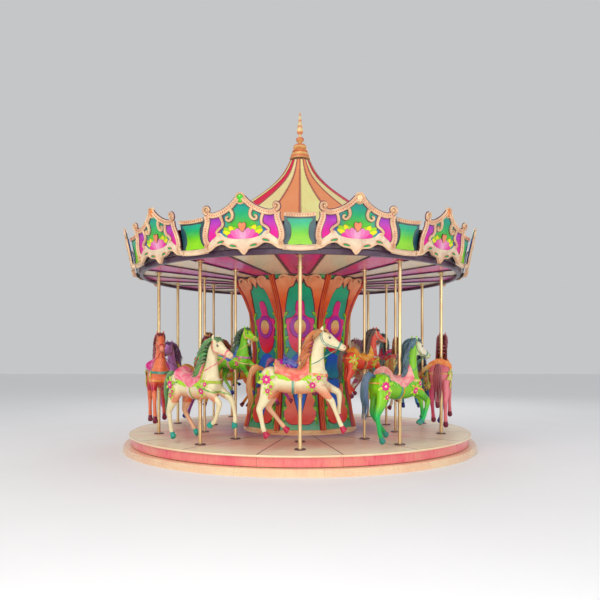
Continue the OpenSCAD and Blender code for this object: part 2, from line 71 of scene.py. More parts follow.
def makeStage():
    camera = bpy.data.cameras.new("camera")
    camera.lens, camera.sensor_width = 35.3, 36.0
    camera.shift_y = 0.095
    camera.clip_end = 100
    holder = bpy.data.objects.new("camera", camera)
    holder.location = (0.0, -10.0, 1.464)
    holder.rotation_euler = (math.radians(90), 0, 0)
    scene.collection.objects.link(holder)
    scene.camera = holder
    floor = Shape()
    floor.add([(-40, -40, 0), (40, -40, 0), (40, 40, 0), (-40, 40, 0)], [(0, 1, 2, 3)])
    floor.build("floor", [floorFinish()])
    world = bpy.data.worlds.new("studio")
    scene.world = world
    world.use_nodes = True
    sky = world.node_tree.nodes["Background"]
    sky.inputs["Color"].default_value = (0.93, 0.94, 0.96, 1)
    sky.inputs["Strength"].default_value = 0.60
    lamps = {
        "key": dict(at=(-6, -9, 9), size=5, power=470, tint=(1, 0.97, 0.92)),
        "fill": dict(at=(8, -7, 4), size=6, power=170, tint=(0.94, 0.96, 1)),
        "low": dict(at=(0, -9, 1.2), size=5, power=190, tint=(1, 0.98, 0.95)),
        "rim": dict(at=(2, 9, 8), size=6, power=260, tint=(1, 1, 1)),
    }
    for name, lamp in lamps.items():
        light = bpy.data.lights.new(name, "AREA")
        light.size, light.energy, light.color = lamp["size"], lamp["power"], lamp["tint"]
        holder = bpy.data.objects.new(name, light)
        holder.location = lamp["at"]
        aim = Vector((0, 0, 2.0)) - Vector(lamp["at"])
        holder.rotation_euler = aim.to_track_quat("-Z", "Y").to_euler()
        scene.collection.objects.link(holder)
    scene.view_settings.view_transform = "Standard"


class Field:
    def __init__(self, finish, socket):
        self.finish, self.socket = finish, socket

    def math(self, operation, *others):
        inputs = {i: v for i, v in enumerate((self,) + others)}
        return self.finish.node("ShaderNodeMath", {"operation": operation}, inputs)

    def __add__(self, other):
        return self.math("ADD", other)

    def __radd__(self, other):
        return self.math("ADD", other)

    def __sub__(self, other):
        return self.math("SUBTRACT", other)

    def __mul__(self, other):
        return self.math("MULTIPLY", other)

    def __rmul__(self, other):
        return self.math("MULTIPLY", other)

    def __truediv__(self, other):
        return self.math("DIVIDE", other)

    def __rsub__(self, other):
        return self.finish.node("ShaderNodeMath", {"operation": "SUBTRACT"}, {0: other, 1: self})

    def above(self, edge):
        return self.math("GREATER_THAN", edge)

    def sine(self):
        return self.math("SINE")

    def power(self, other):
        return self.math("POWER", other)

    def fraction(self):
        return self.math("FRACT")

    def size(self):
        return self.math("ABSOLUTE")

    def between(self, low, high, toLow=0.0, toHigh=1.0):
        inputs = {0: self, 1: low, 2: high, 3: toLow, 4: toHigh}
        return self.finish.node("ShaderNodeMapRange", {"clamp": True}, inputs)


class Finish:
    def __init__(self, name, roughness=0.5, metallic=0.0, coat=0.0, sheen=0.0):
        self.material = bpy.data.materials.new(name)
        self.material.use_nodes = True
        self.tree = self.material.node_tree
        self.shader = self.tree.nodes["Principled BSDF"]
        for key, value in {"Roughness": roughness, "Metallic": metallic, "Coat Weight": coat,
                           "Coat Roughness": 0.12, "Sheen Weight": sheen}.items():
            self.shader.inputs[key].default_value = value

    def plug(self, socket, value):
        if isinstance(value, Field):
            self.tree.links.new(value.socket, socket)
        elif hasattr(socket.default_value,
                     "__len__") and len(socket.default_value) == 4 and len(value) == 3:
            socket.default_value = (*value, 1)
        else:
            socket.default_value = value

    def node(self, kind, settings=None, inputs=None, output=0):
        made = self.tree.nodes.new(kind)
        for key, value in (settings or {}).items():
            if key == "stops":
                for i, (place, tone) in enumerate(value):
                    stop = made.color_ramp.elements[i] if i < 2 else made.color_ramp.elements.new(place)
                    stop.position, stop.color = place, (*tone, 1)
            else:
                setattr(made, key, value)
        for key, value in (inputs or {}).items():
            self.plug(made.inputs[key], value)
        return Field(self, made.outputs[output])

    def place(self):
        return self.node("ShaderNodeTexCoord", output="Object")

    def parts(self, vector):
        made = self.node("ShaderNodeSeparateXYZ", {}, {0: vector})
        return [Field(self, made.socket.node.outputs[i]) for i in range(3)]

    def noise(self, scale, detail=3, vector=None, stretch=None, distortion=0.0):
        where = vector or self.place()
        if stretch:
            where = self.node("ShaderNodeMapping", {}, {"Vector": where, "Scale": stretch})
        inputs = {"Vector": where, "Scale": scale, "Detail": detail, "Distortion": distortion}
        return self.node("ShaderNodeTexNoise", {}, inputs)

    def mix(self, share, a, b, blend="MIX"):
        settings = {"data_type": "RGBA", "blend_type": blend}
        return self.node("ShaderNodeMix", settings, {0: share, 6: a, 7: b}, output=2)

    def bump(self, height, strength, distance):
        made = self.node("ShaderNodeBump", {}, {"Height": height, "Strength": strength,
                                                "Distance": distance})
        self.plug(self.shader.inputs["Normal"], made)

    def vivid(self, tone, saturation=1.22, value=0.96):
        inputs = {"Saturation": saturation, "Value": value, "Color": tone}
        return self.node("ShaderNodeHueSaturation", {}, inputs)

    def color(self, value):
        self.plug(self.shader.inputs["Base Color"], value)

    def rough(self, value):
        self.plug(self.shader.inputs["Roughness"], value)


def floorFinish():
    finish = Finish("studio_floor", roughness=0.8)
    cloud = finish.noise(0.8)
    finish.color(finish.mix(cloud, (0.86, 0.86, 0.87), (0.90, 0.90, 0.91)))
    return finish.material


# Gloss enamel over a painted tint: brush strokes, faint fading and fine orange peel.
def enamelFinish(name="enamel", shade=0.24, roughness=0.38, coat=0.22, streak=(1, 1, 1)):
    finish = Finish(name, roughness=roughness, coat=coat)
    tint = finish.node("ShaderNodeAttribute", {"attribute_name": "tint"}, output="Color")
    broad = finish.noise(5.0, 4, distortion=0.6).between(0.32, 0.68)
    strokes = finish.noise(38.0, 3, stretch=streak).between(0.35, 0.7)
    darker = finish.mix(shade, tint, (0.30, 0.06, 0.12), "MULTIPLY")
    faded = finish.mix(0.05, tint, (1.0, 0.95, 0.75))
    body = finish.mix(broad, darker, faded)
    finish.color(finish.vivid(finish.mix(strokes * 0.35, body, tint)))
    finish.rough(strokes * 0.16 + (roughness - 0.06))
    finish.bump(strokes + finish.noise(160.0, 2) * 0.4, 0.12, 0.002)
    return finish.material


# Carved hair or mane: long grooves that follow the lock, from the piece's own UV map, with painted shade
# down each groove and a painted highlight along each ridge.
def hairFinish():
    finish = Finish("carved_hair", roughness=0.42, coat=0.3)
    tint = finish.node("ShaderNodeAttribute", {"attribute_name": "tint"}, output="Color")
    uv = finish.node("ShaderNodeUVMap", {"uv_map": "grain"})
    across, _, _ = finish.parts(uv)
    wander = finish.noise(3.0, 2, vector=uv)
    grooves = ((across * 6.0 + wander * 1.2) * 6.2832).sine()
    # painted shade in the grooves and painted highlight on the ridges, following the groove bump
    dark = finish.mix(0.45, tint, (0.40, 0.08, 0.12), "MULTIPLY")
    light = finish.mix(0.28, tint, (1.0, 0.93, 0.72))
    finish.color(finish.vivid(finish.mix(grooves.between(-0.8, 0.9), dark, light)))
    finish.bump(grooves, 0.7, 0.006)
    return finish.material


def leatherFinish():
    finish = Finish("saddle_leather", roughness=0.38, coat=0.25)
    tint = finish.node("ShaderNodeAttribute", {"attribute_name": "tint"}, output="Color")
    where = finish.place()
    pebble = finish.node("ShaderNodeTexVoronoi", {}, {"Vector": where, "Scale": 190.0})
    swirl = finish.noise(7.0, 5, distortion=1.6).between(0.35, 0.66)
    warm = finish.mix(0.30, tint, (1.0, 0.86, 0.60))
    deep = finish.mix(0.5, tint, (0.85, 0.10, 0.25), "MULTIPLY")
    finish.color(finish.vivid(finish.mix(swirl, deep, warm)))
    finish.rough(pebble * 0.3 + 0.3)
    finish.bump(pebble, 0.35, 0.0015)
    return finish.material


def clothFinish():
    finish = Finish("woven_cloth", roughness=0.85, sheen=0.08)
    tint = finish.node("ShaderNodeAttribute", {"attribute_name": "tint"}, output="Color")
    x, y, z = finish.parts(finish.place())
    weave = (x * 900.0).sine() * ((z + y) * 900.0).sine()
    hatch = ((x + z * 0.8) * 150.0 + finish.noise(14.0, 2) * 4.0).sine()
    lighter = finish.mix(0.45, tint, (1.0, 1.0, 0.55))
    finish.color(finish.vivid(finish.mix(hatch.between(0.1, 0.7, 0.0, 0.75), tint, lighter)))
    finish.bump(weave + hatch * 0.8, 0.4, 0.0012)
    return finish.material


def brassFinish(name, tone, dark, roughness):
    finish = Finish(name, roughness=roughness, metallic=0.85, coat=0.2)
    stain = finish.noise(6.0, 5, stretch=(1, 1, 0.25)).between(0.35, 0.75)
    fine = finish.noise(90.0, 2, stretch=(1, 1, 0.03))
    finish.color(finish.mix(stain, tone, dark))
    finish.rough(fine * 0.2 + stain * 0.15 + (roughness - 0.1))
    finish.bump(fine, 0.08, 0.0005)
    return finish.material


# Boards that fan out from the drum, with their joints, grain, worn paint, long soft marks and a painted
# violet shadow around the foot of the drum.
def deckFinish():
    finish = Finish("deck_paint", roughness=0.5, coat=0.15)
    x, y, _ = finish.parts(finish.place())
    reach = (x * x + y * y).power(0.5)
    bearing = finish.node("ShaderNodeMath", {"operation": "ARCTAN2"}, {0: y, 1: x})
    turn = (bearing + math.pi) * (16 / (2 * math.pi)) + 0.5
    sector = finish.node("ShaderNodeMath", {"operation": "FLOOR"}, {0: turn})
    wander = finish.noise(4.0, 2) * 0.016 - 0.008
    joint = (reach * 0.19635 - (turn.fraction() - 0.5).size() * reach * 0.3927 + wander
             * 0.3).between(0.006, 0.014, 1.0, 0.0)
    toneValue = finish.node("ShaderNodeTexWhiteNoise", {"noise_dimensions": "1D"}, {"W": sector})
    grain = finish.noise(9.0, 6, distortion=2.2)
    wash = finish.noise(0.9, 3, distortion=1.2).between(0.40, 0.60)
    sunny = finish.mix(toneValue * 0.5, (0.93, 0.84, 0.58), (0.93, 0.72, 0.48))
    rosy = finish.mix(wash, (0.92, 0.46, 0.36), sunny)
    outer = reach.between(1.95, 2.55)
    paint = finish.mix(outer, finish.mix(0.35, rosy, (0.92, 0.40, 0.30)), finish.mix(0.65, rosy, sunny))
    # painted shadow: the boards turn violet towards the foot of the drum
    shadow = reach.between(1.0, 1.5, 0.75, 0.0)
    paint = finish.mix(shadow, paint, (0.20, 0.10, 0.42))
    worn = finish.mix(grain.between(0.45, 0.75) * 0.25, paint, (0.97, 0.88, 0.70))
    finish.color(finish.mix(joint * 0.85, worn, (0.22, 0.04, 0.07)))
    finish.rough(grain * 0.25 + 0.35)
    finish.bump(grain * 0.3 - joint * 1.5, 0.35, 0.003)
    return finish.material


def plainPaint(name, tone, second, scale=3.0, roughness=0.35, coat=0.45):
    finish = Finish(name, roughness=roughness, coat=coat)
    cloud = finish.noise(scale, 5, distortion=1.0).between(0.3, 0.7)
    brush = finish.noise(30.0, 3, stretch=(1, 1, 0.25)).between(0.35, 0.7)
    worn = finish.mix(cloud, tone, second)
    finish.color(finish.vivid(finish.mix(brush * 0.10, worn, (1.0, 0.92, 0.78)), 1.15))
    finish.rough(brush * 0.2 + (roughness - 0.08))
    finish.bump(brush, 0.15, 0.0015)
    return finish.material


def metalPaint(name, tone):
    finish = Finish(name, roughness=0.45, metallic=0.3)
    grime = finish.noise(12.0, 5).between(0.35, 0.75)
    finish.color(finish.mix(grime * 0.6, tone, (0.05, 0.04, 0.04)))
    finish.rough(grime * 0.3 + 0.3)
    finish.bump(grime, 0.1, 0.001)
    return finish.material


class Shape:
    def __init__(self):
        self.verts, self.faces, self.slots, self.tints, self.grain = [], [], [], [], []

    def add(self, verts, faces, tint=(1, 1, 1), slot=0, grain=None):
        base = len(self.verts)
        self.verts += [Vector(v) for v in verts]
        self.faces += [tuple(base + i for i in f) for f in faces]
        self.slots += [slot] * len(faces)
        self.tints += [tint(Vector(v)) if callable(tint) else tint for v in verts]
        self.grain += grain or [(0, 0)] * len(verts)

    def moved(self, matrix):
        other = Shape()
        other.verts = [matrix @ v for v in self.verts]
        other.faces, other.slots = list(self.faces), list(self.slots)
        other.tints, other.grain = list(self.tints), list(self.grain)
        return other

    def build(self, name, materials, smooth=True, angle=34):
        mesh = bpy.data.meshes.new(name)
        mesh.from_pydata(self.verts, [], self.faces)
        mesh.polygons.foreach_set("material_index", self.slots)
        tint = mesh.color_attributes.new("tint", "FLOAT_COLOR", "POINT")
        tint.data.foreach_set("color", [c for t in self.tints for c in (*t, 1)])
        layer = mesh.uv_layers.new(name="grain")
        for loop in mesh.loops:
            layer.data[loop.index].uv = self.grain[loop.vertex_index]
        for material in materials:
            mesh.materials.append(material)
        if smooth:
            mesh.shade_smooth()
            mesh.set_sharp_from_angle(angle=math.radians(angle))
        made = bpy.data.objects.new(name, mesh)
        scene.collection.objects.link(made)
        return made


def spline(rows, per=6, closed=False):
    rows = [tuple(r) for r in rows]
    count = len(rows)
    out = []
    spans = count if closed else count - 1
    for i in range(spans):
        if closed:
            a, b, c, d = (rows[(i + j - 1) % count] for j in range(4))
        else:
            a, b, c, d = (rows[min(max(i + j - 1, 0), count - 1)] for j in range(4))
        for step in range(per):
            t = step / per
            out.append(tuple(
                0.5 * (2 * q + (r - p) * t + (2 * p - 5 * q + 4 * r - s) * t * t + (3 * q - p - 3 * r + s)
                       * t ** 3)
                for p, q, r, s in zip(a, b, c, d)))
    if not closed:
        out.append(rows[-1])
    return out


# A closed tube through rows of (x, y, z, depth, width); depth lies in the plane of `up`.
def tube(shape, rows, sides=12, up=(0, 0, 1), tint=(1, 1, 1), slot=0, grooves=0):
    up = Vector(up)
    verts, grain = [], []
    places = [Vector(r[:3]) for r in rows]
    length = 0
    for i, row in enumerate(rows):
        before, after = places[max(i - 1, 0)], places[min(i + 1, len(rows) - 1)]
        along = (after - before).normalized()
        side = along.cross(up)
        side = side.normalized() if side.length > 1e-4 else Vector((0, 1, 0))
        depth = side.cross(along)
        length += (places[i] - places[i - 1]).length if i else 0
        for j in range(sides):
            a = 2 * math.pi * j / sides
            swell = 1 + (0.12 * math.cos(grooves * a) if grooves else 0)
            verts.append(places[i] + depth * (row[3] * math.cos(a) * swell) + side
                         * (row[4] * math.sin(a) * swell))
            grain.append((abs(2 * j / sides - 1), length))
    faces = []
    for i in range(len(rows) - 1):
        for j in range(sides):
            k = (j + 1) % sides
            faces.append((i * sides + j, i * sides + k, (i + 1) * sides + k, (i + 1) * sides + j))
    faces.append(tuple(reversed(range(sides))))
    faces.append(tuple((len(rows) - 1) * sides + j for j in range(sides)))
    if faceTurns(verts, faces):
        faces = [tuple(reversed(f)) for f in faces]
    shape.add(verts, faces, tint, slot, grain)


# Is a closed shape inside out?
def faceTurns(verts, faces):
    volume = 0.0
    for f in faces:
        a = Vector(verts[f[0]])
        for i in range(1, len(f) - 1):
            volume += a.dot(Vector(verts[f[i]]).cross(Vector(verts[f[i + 1]])))
    return volume < 0


def ball(shape, centre, radii, tint=(1, 1, 1), slot=0, rings=6, sides=10, turn=None):
    rx, ry, rz = radii if hasattr(radii, "__len__") else (radii,) * 3
    turn = turn or Matrix.Identity(3)
    verts = [Vector((0, 0, rz))]
    for i in range(1, rings):
        t = math.pi * i / rings
        for j in range(sides):
            a = 2 * math.pi * j / sides
            verts.append(Vector((rx * math.sin(t) * math.cos(a), ry * math.sin(t) * math.sin(a),
                                 rz * math.cos(t))))
    verts.append(Vector((0, 0, -rz)))
    faces = []
    last = len(verts) - 1
    for j in range(sides):
        k = (j + 1) % sides
        faces.append((0, 1 + j, 1 + k))
        faces.append((last, last - sides + k, last - sides + j))
        for i in range(rings - 2):
            faces.append((1 + i * sides + j, 1 + (i + 1) * sides + j, 1 + (i + 1) * sides + k,
                          1 + i * sides + k))
    shape.add([Vector(centre) + turn @ v for v in verts], faces, tint, slot)


# A turned shape from (radius, height) rows.
def lathe(shape, rows, sides=48, tint=(1, 1, 1), slot=0, centre=(0, 0, 0)):
    verts, grain = [], []
    for r, z in rows:
        for j in range(sides):
            a = 2 * math.pi * j / sides
            verts.append(Vector((centre[0] + r * math.cos(a), centre[1] + r * math.sin(a), centre[2] + z)))
            grain.append((j / sides, z))
    faces = []
    for i in range(len(rows) - 1):
        for j in range(sides):
            k = (j + 1) % sides
            faces.append((i * sides + j, i * sides + k, (i + 1) * sides + k, (i + 1) * sides + j))
    faces.append(tuple(reversed(range(sides))))
    faces.append(tuple((len(rows) - 1) * sides + j for j in range(sides)))
    if faceTurns(verts, faces):
        faces = [tuple(reversed(f)) for f in faces]
    shape.add(verts, faces, tint, slot, grain)


def grown(outline, by):
    count = len(outline)
    out = []
    for i in range(count):
        a, b, c = (Vector(outline[(i + j - 1) % count]) for j in range(3))
        edge = (c - a).normalized() if (c - a).length > 1e-9 else Vector((1, 0))
        out.append((b.x + edge.y * by, b.y - edge.x * by))
    return out


def area(outline):
    count = len(outline)
    return sum(outline[i][0] * outline[(i + 1) % count][1] - outline[(i + 1) % count][0] * outline[i][1]
               for i in range(count)) / 2


# A flat or curved raised panel: an outline in (across, up), laid on a surface by `lay`.
def plaque(shape, outline, lay, low, high, tint, slot=0, step=0.12, chamfer=0.003):
    outline = list(outline) if area(outline) > 0 else list(reversed(outline))
    work = bmesh.new()
    flat = delaunay_2d_cdt([Vector(p) for p in outline], [], [list(range(len(outline)))], 1, 1e-5)
    corners = [work.verts.new((*p, 0)) for p in flat[0]]
    for triangle in flat[2]:
        work.faces.new([corners[i] for i in triangle])
    for axis in (0, 1):
        spread = [p[axis] for p in outline]
        cuts = int((max(spread) - min(spread)) / step)
        for i in range(cuts):
            at = min(spread) + (i + 0.5) * step
            co, no = ((at, 0, 0), (1, 0, 0)) if axis == 0 else ((0, at, 0), (0, 1, 0))
            bmesh.ops.bisect_plane(work, geom=work.verts[:] + work.edges[:] + work.faces[:], dist=1e-6,
                                   plane_co=co, plane_no=no)
    front = work.faces[:]
    behind = bmesh.ops.duplicate(work, geom=front)["geom"]
    behind = {g for g in behind if isinstance(g, bmesh.types.BMVert)}
    for vert in work.verts:
        vert.co.z = low if vert in behind else high
    if chamfer:
        bmesh.ops.inset_region(work, faces=front, thickness=chamfer, use_even_offset=False,
                               use_boundary=True)
    rim = [e for e in work.edges if e.is_boundary and e.verts[0] not in behind]
    for vert in {v for e in rim for v in e.verts}:
        vert.co.z = high - chamfer
    pulled = bmesh.ops.extrude_edge_only(work, edges=rim)["geom"]
    for vert in (g for g in pulled if isinstance(g, bmesh.types.BMVert)):
        vert.co.z = low
    bmesh.ops.remove_doubles(work, verts=[v for v in work.verts if abs(v.co.z - low) < 1e-7], dist=2e-6)
    bmesh.ops.recalc_face_normals(work, faces=work.faces[:])
    bmesh.ops.triangulate(work, faces=[f for f in work.faces if len(f.verts) > 4])
    work.verts.index_update()
    flat = [v.co.copy() for v in work.verts]
    verts = [lay(c.x, c.y, c.z) for c in flat]
    faces = [tuple(v.index for v in f.verts) for f in work.faces]
    tints = [tint(c.x, c.y) if callable(tint) else tint for c in flat]
    if faceTurns(verts, faces):
        faces = [tuple(reversed(f)) for f in faces]
    base = len(shape.verts)
    shape.add(verts, faces, (1, 1, 1), slot, [(c.x, c.y) for c in flat])
    shape.tints[base:] = tints
    work.free()


# A carved moulding along a path in (across, up), with a hollow down its middle.
def moulding(shape, path, lay, width, height, low, tint, slot=0, taper=None):
    profile = [(-0.5, 0.0), (-0.5, 0.6), (-0.37, 1.0), (-0.2, 0.62), (0.2, 0.62), (0.37, 1.0), (0.5, 0.6),
               (0.5, 0.0)]
    verts, grain = [], []
    count = len(path)
    for i, p in enumerate(path):
        a, b = Vector(path[max(i - 1, 0)]), Vector(path[min(i + 1, count - 1)])
        along = (b - a).normalized()
        wide = width * (taper(i / (count - 1)) if taper else 1)
        for q, h in profile:
            verts.append(lay(p[0] - along.y * q * wide, p[1] + along.x * q * wide, low + h * height))
            grain.append((q, i * 0.02))
    n = len(profile)
    faces = [(i * n + j, i * n + (j + 1) % n, (i + 1) * n + (j + 1) % n, (i + 1) * n + j)
             for i in range(count - 1) for j in range(n)]
    faces += [tuple(reversed(range(n))), tuple((count - 1) * n + j for j in range(n))]
    if faceTurns(verts, faces):
        faces = [tuple(reversed(f)) for f in faces]
    shape.add(verts, faces, tint, slot, grain)


def volute(centre, radius, start, turns, sense=1, steps=26):
    out = []
    for i in range(steps + 1):
        t = i / steps
        r = radius * (1 - 0.82 * t)
        a = math.radians(start) + sense * turns * 2 * math.pi * t
        out.append((centre[0] + r * math.cos(a), centre[1] + r * math.sin(a)))
    return out


def bothSides(points):
    return list(points) + [(-x, y) for x, y in reversed(points) if abs(x) > 1e-6]


def front(bearing):
    return Matrix.Rotation(math.radians(bearing), 4, "Z")


def beadTree():
    tree = bpy.data.node_groups.new("beads_on_paths", "GeometryNodeTree")
    face = tree.interface
    face.new_socket("Geometry", in_out="INPUT", socket_type="NodeSocketGeometry")
    for name, value in (("Spacing", 0.03), ("Bead Size", 0.008), ("Size Change", 0.2)):
        face.new_socket(name, in_out="INPUT", socket_type="NodeSocketFloat").default_value = value
    face.new_socket("Seed", in_out="INPUT", socket_type="NodeSocketInt").default_value = 3
    face.new_socket("Material", in_out="INPUT", socket_type="NodeSocketMaterial")
    face.new_socket("Geometry", in_out="OUTPUT", socket_type="NodeSocketGeometry")
    add = tree.nodes.new
    entry, leave = add("NodeGroupInput"), add("NodeGroupOutput")
    curve, points = add("GeometryNodeMeshToCurve"), add("GeometryNodeCurveToPoints")
    points.mode = "LENGTH"
    bead, place = add("GeometryNodeMeshIcoSphere"), add("GeometryNodeInstanceOnPoints")
    change, real = add("FunctionNodeRandomValue"), add("GeometryNodeRealizeInstances")
    paint = add("GeometryNodeSetMaterial")
    low, high = add("ShaderNodeMath"), add("ShaderNodeMath")
    low.operation, high.operation = "SUBTRACT", "ADD"
    bead.inputs["Subdivisions"].default_value = 2
    low.inputs[0].default_value = high.inputs[0].default_value = 1.0
    link = tree.links.new
    link(entry.outputs["Geometry"], curve.inputs["Mesh"])
    link(curve.outputs["Curve"], points.inputs["Curve"])
    link(entry.outputs["Spacing"], points.inputs["Length"])
    link(entry.outputs["Bead Size"], bead.inputs["Radius"])
    link(points.outputs["Points"], place.inputs["Points"])
    link(bead.outputs["Mesh"], place.inputs["Instance"])
    link(entry.outputs["Size Change"], low.inputs[1])
    link(entry.outputs["Size Change"], high.inputs[1])
    link(low.outputs[0], change.inputs["Min"])
    link(high.outputs[0], change.inputs["Max"])
    link(entry.outputs["Seed"], change.inputs["Seed"])
    link(change.outputs[1], place.inputs["Scale"])
    link(place.outputs["Instances"], real.inputs["Geometry"])
    link(real.outputs["Geometry"], paint.inputs["Geometry"])
    link(entry.outputs["Material"], paint.inputs["Material"])
    link(paint.outputs["Geometry"], leave.inputs["Geometry"])
    return tree


def beaded(name, paths, tree, spacing, size, material, change=0.15):
    mesh = bpy.data.meshes.new(name + "_paths")
    verts, edges = [], []
    for path in paths:
        base = len(verts)
        verts += [Vector(p) for p in path]
        edges += [(base + i, base + i + 1) for i in range(len(path) - 1)]
    mesh.from_pydata(verts, edges, [])
    holder = bpy.data.objects.new(name + "_paths", mesh)
    scene.collection.objects.link(holder)
    modifier = holder.modifiers.new("beads", "NODES")
    modifier.node_group = tree
    values = {"Spacing": spacing, "Bead Size": size, "Size Change": change, "Seed": 3, "Material": material}
    for item in tree.interface.items_tree:
        if item.in_out == "INPUT" and item.name in values:
            modifier[item.identifier] = values[item.name]
    bpy.context.view_layer.update()
    made = bpy.data.meshes.new_from_object(holder.evaluated_get(bpy.context.evaluated_depsgraph_get()))
    holder.modifiers.remove(modifier)
    bpy.data.objects.remove(holder)
    made.shade_smooth()
    piece = bpy.data.objects.new(name, made)
    scene.collection.objects.link(piece)
    return piece


def finished(piece, body, slotName, *replaced):
    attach(piece, body)
    if replaced:
        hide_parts(*replaced)
    return piece


horseSize = dict(scale=0.97, inner=0.72, voxel=0.0115, smoothing=5)

torsoRows = [(-0.535, 0, 0.79, 0.05, 0.04), (-0.50, 0, 0.785, 0.115, 0.10), (-0.42, 0, 0.775, 0.160, 0.150),
             (-0.30, 0, 0.755, 0.160, 0.155), (-0.16, 0, 0.725, 0.150, 0.148),
             (-0.03, 0, 0.715, 0.152, 0.146), (0.10, 0, 0.735, 0.168, 0.148),
             (0.21, 0, 0.775, 0.180, 0.145), (0.29, 0, 0.79, 0.150, 0.118), (0.345, 0, 0.80, 0.095, 0.07),
             (0.365, 0, 0.80, 0.04, 0.03)]
neckRows = [(0.17, 0, 0.80, 0.14, 0.115), (0.20, 0, 0.90, 0.142, 0.11), (0.222, 0, 1.00, 0.108, 0.086),
            (0.232, 0, 1.10, 0.088, 0.070), (0.245, 0, 1.20, 0.082, 0.062), (0.275, 0, 1.29, 0.080, 0.060),
            (0.32, 0, 1.34, 0.070, 0.055)]
headRows = [(0.262, 0, 1.335, 0.045, 0.045), (0.30, 0, 1.325, 0.082, 0.060),
            (0.355, 0, 1.298, 0.098, 0.064), (0.42, 0, 1.262, 0.079, 0.054),
            (0.49, 0, 1.225, 0.057, 0.043), (0.55, 0, 1.195, 0.049, 0.041),
            (0.59, 0, 1.174, 0.044, 0.040), (0.612, 0, 1.162, 0.026, 0.026)]
legPoses = {
    "gallop": {
        "frontNear": [(0.20, -0.09, 0.76, 0.085, 0.07), (0.29, -0.098, 0.63, 0.070, 0.055),
                      (0.395, -0.10, 0.505, 0.044, 0.040), (0.425, -0.10, 0.465, 0.043, 0.040),
                      (0.47, -0.10, 0.34, 0.029, 0.028), (0.52, -0.10, 0.215, 0.030, 0.029),
                      (0.545, -0.10, 0.16, 0.033, 0.032), (0.56, -0.10, 0.125, 0.028, 0.030)],
        "frontFar": [(0.22, 0.09, 0.76, 0.085, 0.07), (0.36, 0.098, 0.665, 0.062, 0.050),
                     (0.49, 0.10, 0.60, 0.046, 0.040), (0.53, 0.10, 0.555, 0.042, 0.038),
                     (0.535, 0.10, 0.43, 0.029, 0.028), (0.525, 0.10, 0.33, 0.030, 0.029),
                     (0.525, 0.10, 0.295, 0.033, 0.032), (0.53, 0.10, 0.27, 0.027, 0.029)],
        "hindNear": [(-0.38, -0.085, 0.76, 0.135, 0.085), (-0.42, -0.10, 0.62, 0.110, 0.07),
                     (-0.475, -0.105, 0.49, 0.072, 0.052), (-0.535, -0.105, 0.375, 0.047, 0.038),
                     (-0.53, -0.105, 0.32, 0.040, 0.034), (-0.505, -0.105, 0.20, 0.030, 0.028),
                     (-0.485, -0.105, 0.105, 0.034, 0.031), (-0.46, -0.105, 0.055, 0.028, 0.029)],
        "hindFar": [(-0.34, 0.085, 0.74, 0.13, 0.085), (-0.36, 0.10, 0.60, 0.10, 0.065),
                    (-0.40, 0.105, 0.48, 0.068, 0.05), (-0.43, 0.105, 0.395, 0.046, 0.038),
                    (-0.40, 0.105, 0.335, 0.038, 0.034), (-0.31, 0.105, 0.225, 0.029, 0.028),
                    (-0.235, 0.105, 0.135, 0.034, 0.031), (-0.205, 0.105, 0.095, 0.028, 0.029)],
    },
    "prance": {
        "frontNear": [(0.20, -0.09, 0.76, 0.085, 0.07), (0.32, -0.098, 0.64, 0.066, 0.052),
                      (0.44, -0.10, 0.555, 0.046, 0.040), (0.465, -0.10, 0.51, 0.043, 0.039),
                      (0.43, -0.10, 0.39, 0.029, 0.028), (0.385, -0.10, 0.29, 0.030, 0.029),
                      (0.355, -0.10, 0.262, 0.034, 0.032), (0.325, -0.10, 0.25, 0.027, 0.029)],
        "frontFar": [(0.22, 0.09, 0.76, 0.085, 0.07), (0.36, 0.098, 0.66, 0.062, 0.050),
                     (0.48, 0.10, 0.59, 0.046, 0.040), (0.52, 0.10, 0.55, 0.042, 0.038),
                     (0.56, 0.10, 0.43, 0.029, 0.028), (0.575, 0.10, 0.33, 0.030, 0.029),
                     (0.575, 0.10, 0.28, 0.034, 0.032), (0.565, 0.10, 0.25, 0.027, 0.029)],
    },
}
legPoses["prance"]["hindNear"] = legPoses["gallop"]["hindNear"]
legPoses["prance"]["hindFar"] = legPoses["gallop"]["hindFar"]


def bodyMesh(pose):
    shape = Shape()
    tube(shape, spline(torsoRows, 4), 28, up=(0, 0, 1))
    tube(shape, spline(neckRows, 4), 24, up=(-1, 0, 0))
    tube(shape, spline(headRows, 4), 24, up=(0, 0, 1))
    for side in (-1, 1):
        y = side * 0.036
        ear = [(0.290, y, 1.375, 0.024, 0.016), (0.290, y * 1.25, 1.415, 0.027, 0.018),
               (0.296, y * 1.3, 1.450, 0.021, 0.014), (0.306, y * 1.3, 1.480, 0.008, 0.006)]
        tube(shape, spline(ear, 4), 12, up=(1, 0, 0))
        ball(shape, (0.39, side * 0.048, 1.318), (0.030, 0.014, 0.024))
        ball(shape, (0.335, side * 0.046, 1.245), (0.055, 0.026, 0.058))
        ball(shape, (0.588, side * 0.030, 1.188), (0.018, 0.012, 0.016))
        ball(shape, (-0.40, side * 0.085, 0.79), (0.125, 0.085, 0.135), rings=10, sides=16)
        ball(shape, (0.215, side * 0.085, 0.76), (0.105, 0.070, 0.145), rings=10, sides=16)
    for rows in legPoses[pose].values():
        tube(shape, spline(rows, 4), 18, up=(1, 0, 0))
    made = shape.build("horse_form", [], smooth=False)
    remesh = made.modifiers.new("clay", "REMESH")
    remesh.mode, remesh.voxel_size = "VOXEL", horseSize["voxel"]
    relax = made.modifiers.new("relax", "SMOOTH")
    relax.factor, relax.iterations = 0.5, horseSize["smoothing"]
    bpy.context.view_layer.update()
    mesh = bpy.data.meshes.new_from_object(made.evaluated_get(bpy.context.evaluated_depsgraph_get()))
    verts = [v.co.copy() for v in mesh.vertices]
    faces = [tuple(p.vertices) for p in mesh.polygons]
    bpy.data.objects.remove(made)
    if faceTurns(verts, faces):
        faces = [tuple(reversed(f)) for f in faces]
    return verts, faces, BVHTree.FromPolygons(verts, faces)


